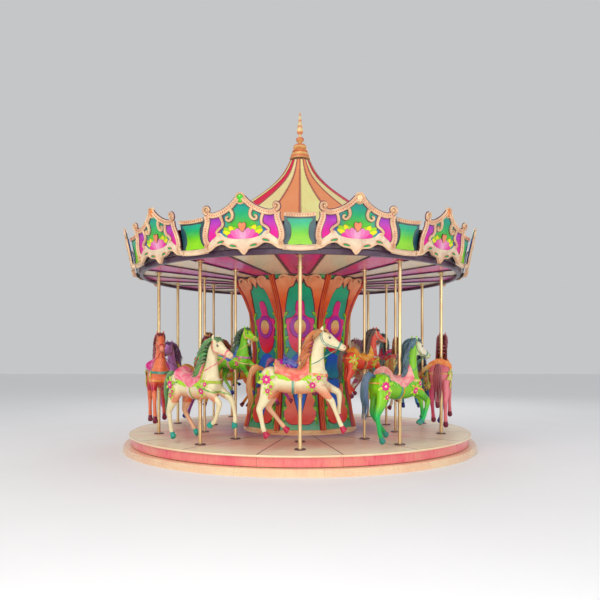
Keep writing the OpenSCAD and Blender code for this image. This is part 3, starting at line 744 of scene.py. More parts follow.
def onBody(tree, start, aim, lift=0.0):
    hit = tree.ray_cast(Vector(start), Vector(aim).normalized())
    if hit[0] is None:
        return None, None
    return hit[0] + hit[1] * lift, hit[1]


# A cover over the back: rows along x, each from side to side around the body.
def cover(shape, tree, xs, drop, thick, tint, slot, centreZ=0.74, across=28, crest=None):
    top, under = [], []
    for x in xs:
        reach = drop(x)
        for j in range(across + 1):
            a = reach * (2 * j / across - 1)
            out = Vector((0, math.sin(a), math.cos(a)))
            start = Vector((x, 0, centreZ)) + out * 0.6
            place, _ = onBody(tree, start, -out)
            place = place or Vector((x, 0, centreZ)) + out * 0.15
            rise = thick + (crest(x, a) if crest else 0)
            edge = min(1.0, 4.0 * min(1 - abs(2 * j / across - 1), 1) + 0.35)
            top.append(place + out * rise * edge)
            under.append(place - out * 0.012)
    n, m = len(xs), across + 1
    verts = top + under
    half = len(top)
    faces = []
    for i in range(n - 1):
        for j in range(m - 1):
            a, b, c, d = i * m + j, i * m + j + 1, (i + 1) * m + j + 1, (i + 1) * m + j
            faces += [(a, b, c, d), (half + d, half + c, half + b, half + a)]
    ring = [j for j in range(m)] + [i * m + m - 1 for i in range(1, n)] + \
           [(n - 1) * m + j for j in range(m - 2, -1, -1)] + [i * m for i in range(n - 2, 0, -1)]
    for i in range(len(ring)):
        a, b = ring[i], ring[(i + 1) % len(ring)]
        faces.append((b, a, half + a, half + b))
    if faceTurns(verts, faces):
        faces = [tuple(reversed(f)) for f in faces]
    shape.add(verts, faces, tint, slot)


# A strap that runs over the body through rays from `start` towards `aim`.
def strap(shape, tree, rays, width, thick, tint, slot, axis):
    places = [onBody(tree, start, aim) for start, aim in rays]
    places = [(p, n) for p, n in places if p is not None]
    axis = Vector(axis).normalized()
    verts = []
    for i, (p, n) in enumerate(places):
        along = (places[min(i + 1, len(places) - 1)][0] - places[max(i - 1, 0)][0]).normalized()
        wide = along.cross(n)
        wide = wide.normalized() * (width / 2) if wide.length > 1e-6 else axis * (width / 2)
        verts += [p - wide - n * 0.006, p - wide * 0.9 + n * thick, p + wide * 0.9 + n * thick,
                  p + wide - n * 0.006]
    count = len(places)
    faces = [(i * 4 + j, i * 4 + (j + 1) % 4, (i + 1) * 4 + (j + 1) % 4, (i + 1) * 4 + j)
             for i in range(count - 1) for j in range(4)]
    faces += [(3, 2, 1, 0), tuple((count - 1) * 4 + j for j in range(4))]
    if faceTurns(verts, faces):
        faces = [tuple(reversed(f)) for f in faces]
    shape.add(verts, faces, tint, slot)


def hoop(centre, u, v, start, stop, count=40, reach=0.5):
    centre, u, v = Vector(centre), Vector(u).normalized(), Vector(v).normalized()
    rays = []
    for i in range(count + 1):
        a = math.radians(start + (stop - start) * i / count)
        out = u * math.cos(a) + v * math.sin(a)
        rays.append((centre + out * reach, -out))
    return rays


def sidePath(points, side, count=24):
    rows = spline([(x, z) for x, z in points], count // (len(points) - 1))
    return [((x, side * 0.5, z), (0, -side, 0)) for x, z in rows]


def flower(shape, place, normal, radius, petal, heart, petals=8):
    normal = Vector(normal).normalized()
    side = normal.orthogonal().normalized()
    turn = Matrix((side, normal.cross(side), normal)).transposed()
    for i in range(petals):
        a = 2 * math.pi * i / petals
        spin = turn @ Matrix.Rotation(a, 3, "Z")
        centre = Vector(place) + spin @ Vector((radius * 0.62, 0, 0.004))
        ball(shape, centre, (radius * 0.40, radius * 0.26, 0.007), petal, 0, 5, 8, spin)
    ball(shape, Vector(place) + normal * 0.006, (radius * 0.27, radius * 0.27, 0.009), heart, 0, 5, 10,
         turn)


def leaf(shape, place, normal, angle, length, tint):
    normal = Vector(normal).normalized()
    side = Vector((1, 0, 0)) - normal * normal.x
    side = side.normalized()
    turn = Matrix((side, normal.cross(side), normal)).transposed() @ Matrix.Rotation(angle, 3, "Z")
    centre = Vector(place) + turn @ Vector((length * 0.5, 0, 0.002))
    ball(shape, centre, (length * 0.55, length * 0.20, 0.005), tint, 0, 5, 8, turn)


def hoof(shape, rows, tint):
    last, before = Vector(rows[-1][:3]), Vector(rows[-3][:3])
    along = (last - before).normalized()
    toe = Vector((0.35, 0, 0)) if along.z < -0.2 else Vector((0, 0, -0.3))
    points = [last - along * 0.018, last + along * 0.012, last + (along + toe * 0.5).normalized() * 0.05,
              last + (along + toe * 0.7).normalized() * 0.066]
    sizes = [(0.031, 0.031), (0.037, 0.035), (0.047, 0.041), (0.043, 0.038)]
    rings = [(*p, *s) for p, s in zip(points, sizes)]
    tube(shape, spline(rings, 3), 16, up=(1, 0, 0), tint=tint)


def hairLock(shape, start, sweep, width, tint, rng, curl=0.02, sides=10):
    rows = []
    count = len(sweep)
    for i, step in enumerate(sweep):
        t = i / (count - 1)
        wave = curl * math.sin(t * 5.2 + rng.uniform(-0.6, 0.6)) * t
        size = width * (0.75 + 0.7 * math.sin(math.pi * min(t * 1.15, 1)) ** 0.8) * (1 - 0.86 * t ** 2.2)
        rows.append((start[0] + step[0] + wave, start[1] + step[1] + wave * 0.35, start[2] + step[2], size,
                     size * 0.62))
    tube(shape, spline(rows, 4), sides, up=(-1, 0, 0.4), tint=tint, slot=1)


def darker(tone, by):
    return tuple(c * by for c in tone)


def blended(a, b, share):
    share = min(max(share, 0), 1)
    return tuple(p + (q - p) * share for p, q in zip(a, b))


def makeHorse(form, pose, coat, rng):
    verts, faces, tree = form
    shape = Shape()
    bodyTone, faceTone, legTone = coat["body"], coat.get("face", coat["body"]), coat.get("legs",
            coat["body"])

    def skin(p):
        tone = bodyTone
        if p.x > 0.24 and p.z > 1.14:
            tone = blended(tone, faceTone, (p.x - 0.26) / 0.1)
        tone = blended(tone, legTone, (0.52 - p.z) / 0.16)
        if p.x > 0.52 and p.z > 1.05:
            tone = blended(tone, coat["muzzle"], (p.x - 0.53) / 0.06)
        # painted shade: the belly darkens towards its underside in the coat's shade tone
        bellyShade = blended((1, 1, 1), coat["shade"],
                            (0.70 - p.z) / 0.12) if 0.50 < p.z < 0.70 and abs(p.x) < 0.42 else (1, 1, 1)
        # painted shade over the far hind leg and flank, on the horse's far side
        farHindShade = coat["shade"] if p.y > 0.055 and p.z < 0.62 and p.x < -0.1 else (1, 1, 1)
        return tuple(a * b * (0.35 + 0.65 * c) for a, b, c in zip(tone, bellyShade, farHindShade))

    shape.add(verts, faces, skin, 0)
    for rows in legPoses[pose].values():
        hoof(shape, rows, coat["hoof"])

    # eyes, nostrils and mouth
    for side in (-1, 1):
        ball(shape, (0.392, side * 0.0560, 1.318), (0.023, 0.010, 0.0185), (0.10, 0.03, 0.03), 4, 7, 12)
        ball(shape, (0.393, side * 0.0585, 1.318), (0.019, 0.010, 0.0150), (0.95, 0.90, 0.80), 4, 7, 12)
        ball(shape, (0.396, side * 0.0625, 1.317), (0.013, 0.009, 0.0135), coat["eye"], 4, 7, 12)
        ball(shape, (0.398, side * 0.0690, 1.318), (0.0070, 0.0045, 0.0080), (0.01, 0.01, 0.01), 4, 6, 10)
        lid = [(0.370, side * 0.054, 1.316, 0.004, 0.005), (0.385, side * 0.064, 1.335, 0.005, 0.006),
               (0.402, side * 0.064, 1.334, 0.005, 0.006), (0.416, side * 0.052, 1.314, 0.003, 0.004)]
        tube(shape, spline(lid, 4), 8, up=(0, 0, 1), tint=darker(faceTone, 0.45))
        nostril, normal = onBody(tree, (0.592, side * 0.5, 1.192), (0, -side, 0))
        if nostril:
            ball(shape, nostril, (0.010, 0.005, 0.007), darker(coat["muzzle"], 0.22))
        strap(shape, tree, sidePath([(0.60, 1.150), (0.565, 1.152), (0.53, 1.168)], side, 12), 0.005,
              0.0015, darker(coat["muzzle"], 0.3), 0, (0, 0, 1))

    # mane down the crest, forelock and tail
    maneTone = coat["mane"]
    crest = spline([(0.300, 1.405), (0.235, 1.385), (0.180, 1.31), (0.155, 1.20), (0.140, 1.09),
                    (0.115, 0.99), (0.070, 0.93)], 4)
    for i, (x, z) in enumerate(crest[::2]):
        share = i * 2 / (len(crest) - 1)
        for side in (-1, 0, 1):
            reach = 0.135 * (1 - 0.30 * abs(share - 0.5)) * rng.uniform(0.72, 1.32)
            tone = tuple(c * rng.uniform(0.62, 1.15) for c in maneTone)
            lean = side * 0.040
            flick = rng.uniform(-0.25, 0.15)
            sweep = [(0.012, 0, 0.0), (-0.28 * reach, lean, 0.08 * reach),
                     (-0.66 * reach, lean * 1.5, -0.22 * reach), (-0.90 * reach, lean * 1.8, -0.75 * reach),
                     (-(1.22 + flick) * reach, lean * 2.0, -1.15 * reach)]
            hairLock(shape, (x, side * 0.012, z), sweep, 0.0215, tone, rng, 0.018)
    for i in range(5):
        y = (i - 2) * 0.014
        sweep = [(0, 0, 0), (0.035, y * 0.5, 0.018), (0.08, y, -0.01),
                 (0.10 + 0.01 * (i % 2), y * 1.3, -0.055)]
        hairLock(shape, (0.298, y, 1.408), sweep, 0.014,
                 tuple(c * rng.uniform(0.8, 1.1) for c in maneTone), rng, 0.008)
    tailTone = coat.get("tail", maneTone)
    for i in range(11):
        a = 2 * math.pi * i / 10
        y, lift = (0.034 * math.cos(a), 0.030 * math.sin(a)) if i < 10 else (0, 0)
        tone = tuple(c * rng.uniform(0.72, 1.15) for c in tailTone)
        end = rng.uniform(-0.05, 0.05)
        sweep = [(0.02, 0, 0.0), (-0.07, y * 0.7, 0.035 + lift * 0.5), (-0.145, y, -0.015 + lift),
                 (-0.180 + 0.3 * lift, y * 1.3, -0.13), (-0.175 + lift * 0.8, y * 1.5, -0.27),
                 (-0.150 + lift, y * 1.4, -0.40), (-0.185 + lift * 0.6, y * 1.1, -0.55 + end)]
        hairLock(shape, (-0.500, 0, 0.885), sweep, 0.024, tone, rng, 0.012, 12)

    # blanket, saddle and straps
    scallop = lambda x: 1.45 + 0.10 * abs(math.sin((x + 0.335) * 26.0)) - 0.35 * max(0, (-0.20 - x) / 0.14)
    cover(shape, tree, [-0.325 + 0.475 * i / 40 for i in range(41)], scallop, 0.010, coat["blanket"], 3)
    cover(shape, tree, [-0.345 + 0.03 * i / 3 for i in range(4)], lambda x: 1.02, 0.014, coat["border"], 3)

    def flap(x):
        t = (x + 0.335) / 0.455
        return 0.98 + 0.62 * math.exp(-((t - 0.60) / 0.26) ** 2)

    def seat(x, a):
        t = (x + 0.335) / 0.455
        high = math.cos(min(abs(a) * 0.75, math.pi / 2))
        cantle = 0.070 * math.exp(-((t - 0.03) / 0.11) ** 2)
        pommel = 0.040 * math.exp(-((t - 0.98) / 0.10) ** 2)
        return (cantle + pommel + 0.020) * high * high + 0.006

    cover(shape, tree, [-0.335 + 0.455 * i / 30 for i in range(31)], flap, 0.016, coat["saddle"], 2,
          crest=seat)
    bandA = hoop((-0.095, 0, 0.72), (0, 0, -1), (0, 1, 0), -110, 110, 44)
    strap(shape, tree, bandA, 0.030, 0.009, coat["girth"], 2, (1, 0, 0))
    bandB = hoop((-0.060, 0, 0.72), (0, 0, -1), (0, 1, 0), -110, 110, 44)
    strap(shape, tree, bandB, 0.014, 0.010, coat["trim"], 2, (1, 0, 0))
    chest = hoop((0.12, 0, 0.835), (1, 0, -0.10), (0, 1, 0), -98, 98, 44)
    strap(shape, tree, chest, 0.040, 0.010, coat["breast"], 2, (0, 0, 1))
    lower = hoop((0.10, 0, 0.76), (1, 0, -0.32), (0, 1, 0), -92, 92, 44)
    strap(shape, tree, lower, 0.022, 0.009, coat["trim"], 2, (0, 0, 1))
    rump = hoop((-0.28, 0, 0.80), (-1, 0, 0.02), (0, 1, 0), -84, 84, 36)
    strap(shape, tree, rump, 0.022, 0.009, coat["trim"], 2, (0, 0, 1))
    for side in (-1, 1):
        cheek = sidePath([(0.285, 1.385), (0.285, 1.315), (0.320, 1.245), (0.40, 1.205), (0.50, 1.178)],
                         side, 28)
        strap(shape, tree, cheek, 0.034, 0.006, coat["bridle"], 2, (0, 0, 1))
        strap(shape, tree, cheek, 0.010, 0.009, coat["trim"], 2, (0, 0, 1))
        rein = sidePath([(0.52, 1.172), (0.43, 1.13), (0.31, 1.05), (0.22, 0.99), (0.11, 0.95)], side, 28)
        strap(shape, tree, rein, 0.011, 0.006, coat["bridle"], 2, (0, 0, 1))
        place, normal = onBody(tree, (0.52, side * 0.5, 1.172), (0, -side, 0))
        if place:
            ball(shape, place, (0.012, 0.007, 0.012), (0.80, 0.60, 0.25), 4)
    noseband = hoop((0.525, 0, 1.205), (0.42, 0, 0.91), (0, 1, 0), -180, 180, 36, 0.3)
    strap(shape, tree, noseband, 0.026, 0.006, coat["bridle"], 2, (1, 0, 0))

    # flowers and leaves on haunch and shoulder
    for side in (-1, 1):
        for x, z, size in ((-0.440, 0.765, 0.068), (-0.425, 0.615, 0.036), (0.165, 0.690, 0.050),
                           (0.245, 0.785, 0.034), (-0.385, 0.670, 0.024)):
            place, normal = onBody(tree, (x, side * 0.5, z), (0, -side, 0), 0.003)
            if not place:
                continue
            for j in range(6):
                leaf(shape, place, normal, j * math.pi / 3 + 0.4, size * 1.9,
                     blended(coat["leaf"], (0.9, 0.95, 0.3), 0.5 * (j % 2)))
            flower(shape, place + normal * 0.004, normal, size, coat["flower"], (1.0, 0.88, 0.62))
    return shape


cream, ivory = (0.90, 0.82, 0.55), (0.93, 0.88, 0.68)
leafGreen, lime, teal = (0.16, 0.52, 0.08), (0.38, 0.72, 0.06), (0.02, 0.36, 0.28)
hotPink, coral = (0.85, 0.10, 0.33), (0.88, 0.20, 0.12)
violet, blue, navy = (0.42, 0.06, 0.45), (0.05, 0.16, 0.72), (0.03, 0.05, 0.30)
crimson, maroon, orange = (0.55, 0.02, 0.08), (0.18, 0.01, 0.05), (0.92, 0.38, 0.12)
gold, peach = (0.90, 0.62, 0.20), (0.93, 0.55, 0.34)
# tones for the painted shade under each horse's belly and over its far hind side
shadeWarm, shadeViolet, shadeGreen = (0.90, 0.45, 0.45), (0.62, 0.25, 0.55), (0.35, 0.60, 0.50)


def coatOf(body, mane, saddle, blanket, border, girth, breast, trim, bridle, hoofTone, flowerTone=hotPink,
           leafTone=lime, shade=shadeWarm, eye=(0.10, 0.04, 0.02), **extra):
    muzzle = extra.pop("muzzle", blended(body, (0.95, 0.55, 0.45), 0.35))
    return dict(body=body, mane=mane, saddle=saddle, blanket=blanket, border=border, girth=girth,
                breast=breast, trim=trim, bridle=bridle, hoof=hoofTone, flower=flowerTone, leaf=leafTone,
                shade=shade, eye=eye, muzzle=muzzle, **extra)


outerCoats = [
    coatOf(cream, (0.88, 0.36, 0.16), (0.93, 0.42, 0.34), lime, leafGreen, teal, peach, (0.85, 0.80, 0.55),
           teal, crimson),
    coatOf((0.30, 0.66, 0.10), (0.02, 0.20, 0.30), (0.93, 0.52, 0.52), leafGreen, teal, teal,
           (0.80, 0.78, 0.30), gold, teal, (0.03, 0.25, 0.20), tail=(0.02, 0.14, 0.35), face=ivory,
           legs=(0.05, 0.50, 0.14), shade=shadeGreen),
    coatOf((0.90, 0.32, 0.36), (0.50, 0.03, 0.10), orange, gold, violet, violet, (0.40, 0.48, 0.40),
           (0.80, 0.60, 0.25), (0.35, 0.40, 0.35), maroon, (0.95, 0.75, 0.35), shade=shadeViolet),
    coatOf((0.10, 0.40, 0.62), (0.03, 0.08, 0.30), gold, coral, navy, maroon, gold, gold, gold, navy,
           peach, shade=shadeViolet),
    coatOf(ivory, (0.55, 0.30, 0.60), teal, violet, gold, gold, hotPink, gold, violet, maroon,
           shade=shadeViolet),
    coatOf(cream, (0.16, 0.45, 0.30), blue, orange, gold, maroon, lime, gold, blue, navy, coral),
    coatOf((0.93, 0.62, 0.22), (0.60, 0.10, 0.05), teal, hotPink, lime, navy, teal, gold, crimson, maroon,
           ivory),
    coatOf((0.60, 0.32, 0.68), (0.20, 0.05, 0.35), gold, teal, gold, navy, gold, gold, navy, navy, gold,
           shade=shadeViolet),
    coatOf((0.92, 0.33, 0.22), (0.42, 0.02, 0.08), (0.72, 0.05, 0.40), teal, navy, (0.85, 0.70, 0.30),
           teal, gold, crimson, maroon, (0.95, 0.60, 0.30), tail=(0.62, 0.03, 0.16), shade=shadeViolet),
    coatOf(cream, (0.14, 0.46, 0.18), (0.92, 0.36, 0.48), lime, leafGreen, (0.92, 0.80, 0.82), lime,
           leafGreen, (0.90, 0.32, 0.42), (0.03, 0.36, 0.28), hotPink),
]
innerCoats = [
    coatOf((0.62, 0.05, 0.40), (0.35, 0.02, 0.25), blue, violet, blue, navy, coral, gold, gold, maroon,
           coral, shade=shadeViolet),
    coatOf((0.90, 0.22, 0.18), (0.10, 0.04, 0.06), (0.95, 0.55, 0.15), coral, gold, maroon,
           (0.45, 0.45, 0.42), gold, (0.45, 0.40, 0.40), maroon, gold),
    coatOf((0.93, 0.82, 0.35), (0.80, 0.35, 0.10), crimson, lime, gold, teal, teal, gold, teal, maroon),
    coatOf((0.20, 0.60, 0.55), (0.02, 0.25, 0.30), hotPink, gold, navy, navy, coral, gold, coral, navy,
           peach),
    coatOf(ivory, (0.85, 0.45, 0.15), teal, coral, gold, maroon, teal, gold, crimson, crimson),
    coatOf((0.90, 0.40, 0.50), crimson, lime, teal, gold, navy, lime, gold, teal, maroon, ivory),
    coatOf((0.30, 0.62, 0.12), teal, orange, violet, gold, maroon, hotPink, gold, violet, navy, coral),
    coatOf((0.88, 0.72, 0.30), (0.50, 0.15, 0.05), violet, blue, gold, maroon, coral, gold, navy, maroon),
    coatOf((0.80, 0.06, 0.16), (0.22, 0.01, 0.07), (0.60, 0.03, 0.12), crimson, gold, maroon, gold, gold,
           maroon, maroon, gold, shade=shadeViolet, muzzle=(0.82, 0.10, 0.20)),
    coatOf((0.22, 0.62, 0.06), (0.01, 0.16, 0.07), (0.06, 0.25, 0.82), lime, (0.55, 0.40, 0.75),
           (0.80, 0.50, 0.60), violet, (0.85, 0.82, 0.40), (0.80, 0.78, 0.30), navy, hotPink,
           shade=shadeGreen, face=(0.34, 0.70, 0.08), legs=(0.45, 0.72, 0.15)),
]


def makeHorses(finishes):
    forms = {pose: bodyMesh(pose) for pose in legPoses}
    print("horse forms:", {k: len(f[1]) for k, f in forms.items()})
    for k in range(cranks):
        for row, coats, radius in (("outer", outerCoats, outerRow), ("inner", innerCoats, innerRow)):
            name = f"{row}_horse_{k}"
            high = boxOf(name)[1]
            inner = row == "inner"
            size = horseSize["scale"] * (horseSize["inner"] if inner else 1)
            rng = random.Random(100 + k + 50 * inner)
            pose = "gallop" if (k % 2 == 0) != inner else "prance"
            shape = makeHorse(forms[pose], pose, coats[k], rng)
            raised = ((k % 2 == 0) != inner)
            mid = 0.58 if inner else 0.13
            hoofZ = deckTop + mid + (0.05 if raised else -0.05)
            place = front(360 / cranks * k) @ Matrix.Translation((0, -radius, hoofZ)) @ Matrix.Scale(size,
                    4)
            piece = shape.moved(place).build(f"horse_{row}_{k}", finishes)
            finished(piece, f"{name}_body", frameSlot(name), name)
            makePole(name, k, radius, 0.020 if inner else 0.025, hoofZ, size, high.z)


def frameSlot(node):
    return next(s["material_slot"] for s in frame["record"]["subparts"] if s["node"] == node)


# Pole with a plain brass sleeve, turned knobs above and below the horse, and its yoke.
def makePole(name, k, radius, poleR, hoofZ, size, top):
    shape = Shape()
    bottom = boxOf(name)[0].z
    yokeH = 0.09
    rows = [(poleR, bottom), (poleR, top - yokeH)]
    lathe(shape, rows, 24)
    for z in (hoofZ + 0.545 * size, hoofZ + 0.90 * size):
        knob = [(poleR, -0.030), (poleR + 0.006, -0.027), (poleR + 0.010, -0.012), (poleR + 0.005, 0.0),
                (poleR + 0.010, 0.012), (poleR + 0.006, 0.027), (poleR, 0.030)]
        lathe(shape, [(r, z + h) for r, h in knob], 24)
    slotHalf, slotHigh, wall, thick = 0.116, 0.032, 0.029, 2 * poleR
    centre = top - yokeH / 2
    for x0, x1, z0, z1 in ((-slotHalf - wall, slotHalf + wall, -yokeH / 2, -slotHigh / 2),
                           (-slotHalf - wall, slotHalf + wall, slotHigh / 2, yokeH / 2),
                           (-slotHalf - wall, -slotHalf, -slotHigh / 2, slotHigh / 2),
                           (slotHalf, slotHalf + wall, -slotHigh / 2, slotHigh / 2)):
        verts = [(x, y, centre + z) for z in (z0, z1) for x, y in ((x0, -thick / 2), (x1, -thick / 2),
                                                                   (x1, thick / 2), (x0, thick / 2))]
        shape.add(verts, [(3, 2, 1, 0), (4, 5, 6, 7), (0, 1, 5, 4), (1, 2, 6, 5), (2, 3, 7, 6),
                          (3, 0, 4, 7)])
    place = front(360 / cranks * k) @ Matrix.Translation((0, -radius, 0))
    piece = shape.moved(place).build(f"pole_{name}", [poleBrass])
    finished(piece, f"{name}_body", "brass", name)


drumProfile = dict(heights=(0, 0.19, 0.67, 1.23, 1.66, 1.87, 2.09, 2.388), waist=0.80,
                   flare=(0.150, 0.100, 0.025, 0.0, 0.028, 0.069, 0.158, 0.340))


def drumRadius(z):
    h, f = drumProfile["heights"], drumProfile["flare"]
    t = min(max(z - drumLow, 0), h[-1])
    for i in range(len(h) - 1):
        if t <= h[i + 1]:
            return drumProfile["waist"] + f[i] + (f[i + 1] - f[i]) * (t - h[i]) / (h[i + 1] - h[i])
    return drumProfile["waist"] + f[-1]


def drumLay(k):
    turn = front(360 / drumSides * k)
    flat = math.cos(math.pi / drumSides)

    def lay(u, z, out):
        r = drumRadius(z)
        half = r * math.sin(math.pi / drumSides) - 0.052
        return turn @ Vector((u * half, -(r * flat + out), z))

    return lay


def blob(centre, width, height, count=28, power=2.0):
    out = []
    for i in range(count):
        a = 2 * math.pi * i / count
        c, s = math.cos(a), math.sin(a)
        out.append((centre[0] + width * math.copysign(abs(c) ** (2 / power), c),
                    centre[1] + height * math.copysign(abs(s) ** (2 / power), s)))
    return out


def makeDrum(enamel, carved):
    art = Shape()
    ink = (0.10, 0.015, 0.05)

    def paint(k, outline, tint, level, thick=0.006, line=0.010, step=0.10):
        lay = drumLay(k)
        outline = outline if area(outline) > 0 else list(reversed(outline))
        scaled = [(u, z) for u, z in outline]
        if line:
            edge = [(u, z) for u, z in grownIn(outline, line)]
            plaque(art, edge, lay, -0.002, level - 0.002, ink, 0, step, 0)
        plaque(art, scaled, lay, -0.002, level + thick, tint, 0, step, 0.003)

    for k in range(drumSides):
        tealArch = spline([(-0.97, 1.30), (-0.97, 1.75), (-0.90, 2.10), (-0.80, 2.36), (-0.45, 2.55),
                           (0, 2.60), (0.45, 2.55), (0.80, 2.36), (0.90, 2.10), (0.97, 1.75), (0.97, 1.30),
                           (0.5, 1.28), (-0.5, 1.28)], 4, True)
        paint(k, tealArch, lambda u, z: blended((0.0, 0.30, 0.30), (0.03, 0.45, 0.22), (z - 1.8) / 0.7),
              0.003, 0.004)
        cartouche = bothSides(spline([(0, 2.35), (0.16, 2.33), (0.24, 2.24), (0.26, 2.14), (0.50, 2.08),
                                      (0.78, 2.06), (0.82, 1.96), (0.72, 1.84), (0.66, 1.72),
                                      (0.48, 1.60), (0.22, 1.54), (0, 1.53)], 4))
        paint(k, cartouche, lambda u, z: blended((0.88, 0.10, 0.12), (0.90, 0.08, 0.32), (z - 1.6) / 0.3),
              0.010, 0.008)
        paint(k, blob((0, 1.94), 0.60, 0.175), (0.45, 0.03, 0.50), 0.020, 0.006)
        paint(k, blob((0, 1.94), 0.36, 0.115), lambda u, z: blended((0.95, 0.35, 0.25), (0.97, 0.70, 0.35),
                                                                    (z - 1.9) / 0.08), 0.028, 0.008)
        dome = bothSides(spline([(0, 1.52), (0.35, 1.49), (0.62, 1.40), (0.74, 1.30), (0.74, 1.20),
                                 (0.5, 1.14), (0, 1.12)], 4))
        paint(k, dome, lambda u, z: blended((0.01, 0.30, 0.45), (0.03, 0.12, 0.80), (z - 1.2) / 0.25),
              0.008, 0.008)
        wedge = bothSides([(0, 0.50), (0.12, 0.62), (0.30, 0.80), (0.45, 0.98), (0.50, 1.10), (0, 1.12)])
        paint(k, wedge, (0.08, 0.22, 0.78), 0.006, 0.006)
        for side in (-1, 1):
            lobe = spline([(0.05, 0.44), (0.45, 0.42), (0.78, 0.50), (0.86, 0.62), (0.72, 0.68),
                           (0.84, 0.78), (0.70, 0.86),
                           (0.78, 0.98), (0.58, 1.04), (0.46, 0.92), (0.28, 0.74), (0.12, 0.58)], 4, True)
            lobe = [(side * u, z) for u, z in lobe]
            paint(k, lobe, lambda u, z: blended((0.86, 0.16, 0.14), (0.95, 0.40, 0.30), (z - 0.5) / 0.4),
                  0.010, 0.010)
        lay = drumLay(k)
        for side in (-1, 1):
            vine = spline([(0.86, 0.42), (0.96, 0.62), (0.86, 0.90), (0.94, 1.20), (0.88, 1.50),
                           (0.95, 1.80), (0.93, 2.10), (0.96, 2.38)], 8)
            rows = [(*lay(side * u, z, 0.012), 0.013, 0.013) for u, z in vine]
            tube(art, rows, 8, up=(0, 0, 1), tint=lambda p: blended((0.10, 0.42, 0.05), (0.36, 0.75, 0.05),
                                                                    (p.z - 0.8) / 1.5))
            for j, (u, z) in enumerate(vine[3:-3:5]):
                tip = (side * (u - 0.20 - 0.06 * (j % 2)), z + 0.07)
                leafLine = spline([(side * u, z), (side * (u - 0.05), z + 0.06), tip,
                                   (side * (u - 0.12), z + 0.01)], 4, True)
                paint(k, leafLine, (0.20, 0.60, 0.05) if j % 2 else (0.34, 0.72, 0.08), 0.012, 0.006)
    piece = art.build("drum_painting", [enamel])
    finished(piece, "platform", "drum_paint")

    # scalloped cresting over each panel
    crest = Shape()
    for k in range(drumSides):
        lay = drumLay(k)
        top = drumHigh - 0.012
        outline = bothSides(spline([(0, 2.56), (0.10, 2.62), (0.16, 2.66), (0.30, 2.56), (0.52, 2.52),
                                    (0.72, 2.34), (0.88, 2.14), (0.96, 2.06)],
                                    5) + spline([(1.0, 2.10), (1.04, 2.40), (1.05, 2.62),
                                    (0.80, 2.665), (0.50, top), (0.25, top - 0.01), (0, top)], 5))
        edge = grownIn(outline if area(outline) > 0 else list(reversed(outline)), 0.014)
        plaque(crest, edge, lay, 0.0, 0.012, ink, 0, 0.08, 0)
        plaque(crest, outline, lay, 0.0, 0.026, lambda u, z: blended((0.90, 0.20, 0.12),
                                                                     (0.95, 0.45, 0.28), (z - 2.3) / 0.3),
               0, 0.08, 0.005)
        for u in (-0.62, 0, 0.62):
            curl = [(u + 0.22 * math.cos(a), top - 0.050 + 0.050 * math.sin(a)) for a in
                    [math.radians(200 - 22 * i) for i in range(11)]]
            rows = [(*lay(s, z, 0.042), 0.017, 0.017) for s, z in curl]
            tube(crest, rows, 10, tint=(0.93, 0.55, 0.36))
    piece = crest.build("drum_cresting", [enamel])
    finished(piece, "platform", "coral_paint", "drum_scallops")

    # fluted pilasters on the drum's corners, with painted shade in the flutes and along the edges and a
    # painted highlight on the ridges
    columns = Shape()
    across = 25
    for k in range(drumSides):
        turn = front(360 / drumSides * (k + 0.5))
        stations = [drumLow + (drumHigh - drumLow) * i / 36 for i in range(37)]
        verts, tints, grain = [], [], []
        for z in stations:
            r = drumRadius(z)
            wide = 0.047
            for j in range(across):
                s = -wide + 2 * wide * j / (across - 1)
                ridge = 0.5 + 0.5 * math.cos(s / wide * 3.5 * math.pi)
                shoulder = min(1, (wide - abs(s)) / 0.008)
                out = 0.012 + 0.014 * shoulder + 0.009 * ridge * shoulder
                verts.append(turn @ Vector((s, -(r + out), z)))
                # painted shade in the flutes and at the edges, painted highlight on the ridge crests
                tints.append(blended((0.42, 0.02, 0.04), (0.92, 0.24, 0.10), ridge * shoulder * 1.1))
                grain.append((s, z))
            # the sides running back into the drum are painted dark as shade
            for s in (wide, -wide):
                verts.append(turn @ Vector((s, -(r - 0.035), z)))
                tints.append((0.35, 0.02, 0.04))
                grain.append((s, z))
        n = across + 2
        faces = [(i * n + j, i * n + (j + 1) % n, (i + 1) * n + (j + 1) % n, (i + 1) * n + j)
                 for i in range(len(stations) - 1) for j in range(n)]
        faces += [tuple(reversed(range(n))), tuple((len(stations) - 1) * n + j for j in range(n))]
        if faceTurns(verts, faces):
            faces = [tuple(reversed(f)) for f in faces]
        base = len(columns.verts)
        columns.add(verts, faces, (1, 1, 1), 0, grain)
        columns.tints[base:] = tints
    piece = columns.build("drum_fluted_pilasters", [carved], angle=30)
    finished(piece, "platform", "orange_paint", "drum_pilasters")
    print("drum done")


def grownIn(outline, by):
    count = len(outline)
    out = []
    for i in range(count):
        a, b, c = (Vector(outline[(i + j - 1) % count]) for j in range(3))
        edge = Vector(((c - a).x * 0.29, (c - a).y))
        edge = edge.normalized() if edge.length > 1e-9 else Vector((1, 0))
        out.append((b.x + edge.y * by / 0.29, b.y - edge.x * by))
    return out


cornice = dict(radius=2.682, foot=2.750, lean=12.0, board=0.018, linkHalf=0.195)


def corniceLay(bearing):
    lean = math.radians(cornice["lean"])
    turn = front(bearing)
    up = Vector((0, -math.sin(lean), math.cos(lean)))
    out = Vector((0, -math.cos(lean), -math.sin(lean)))
    base = Vector((0, -cornice["radius"], cornice["foot"]))

    def lay(s, t, h):
        return turn @ (base + Vector((s, 0, 0)) + up * t + out * h)

    return lay


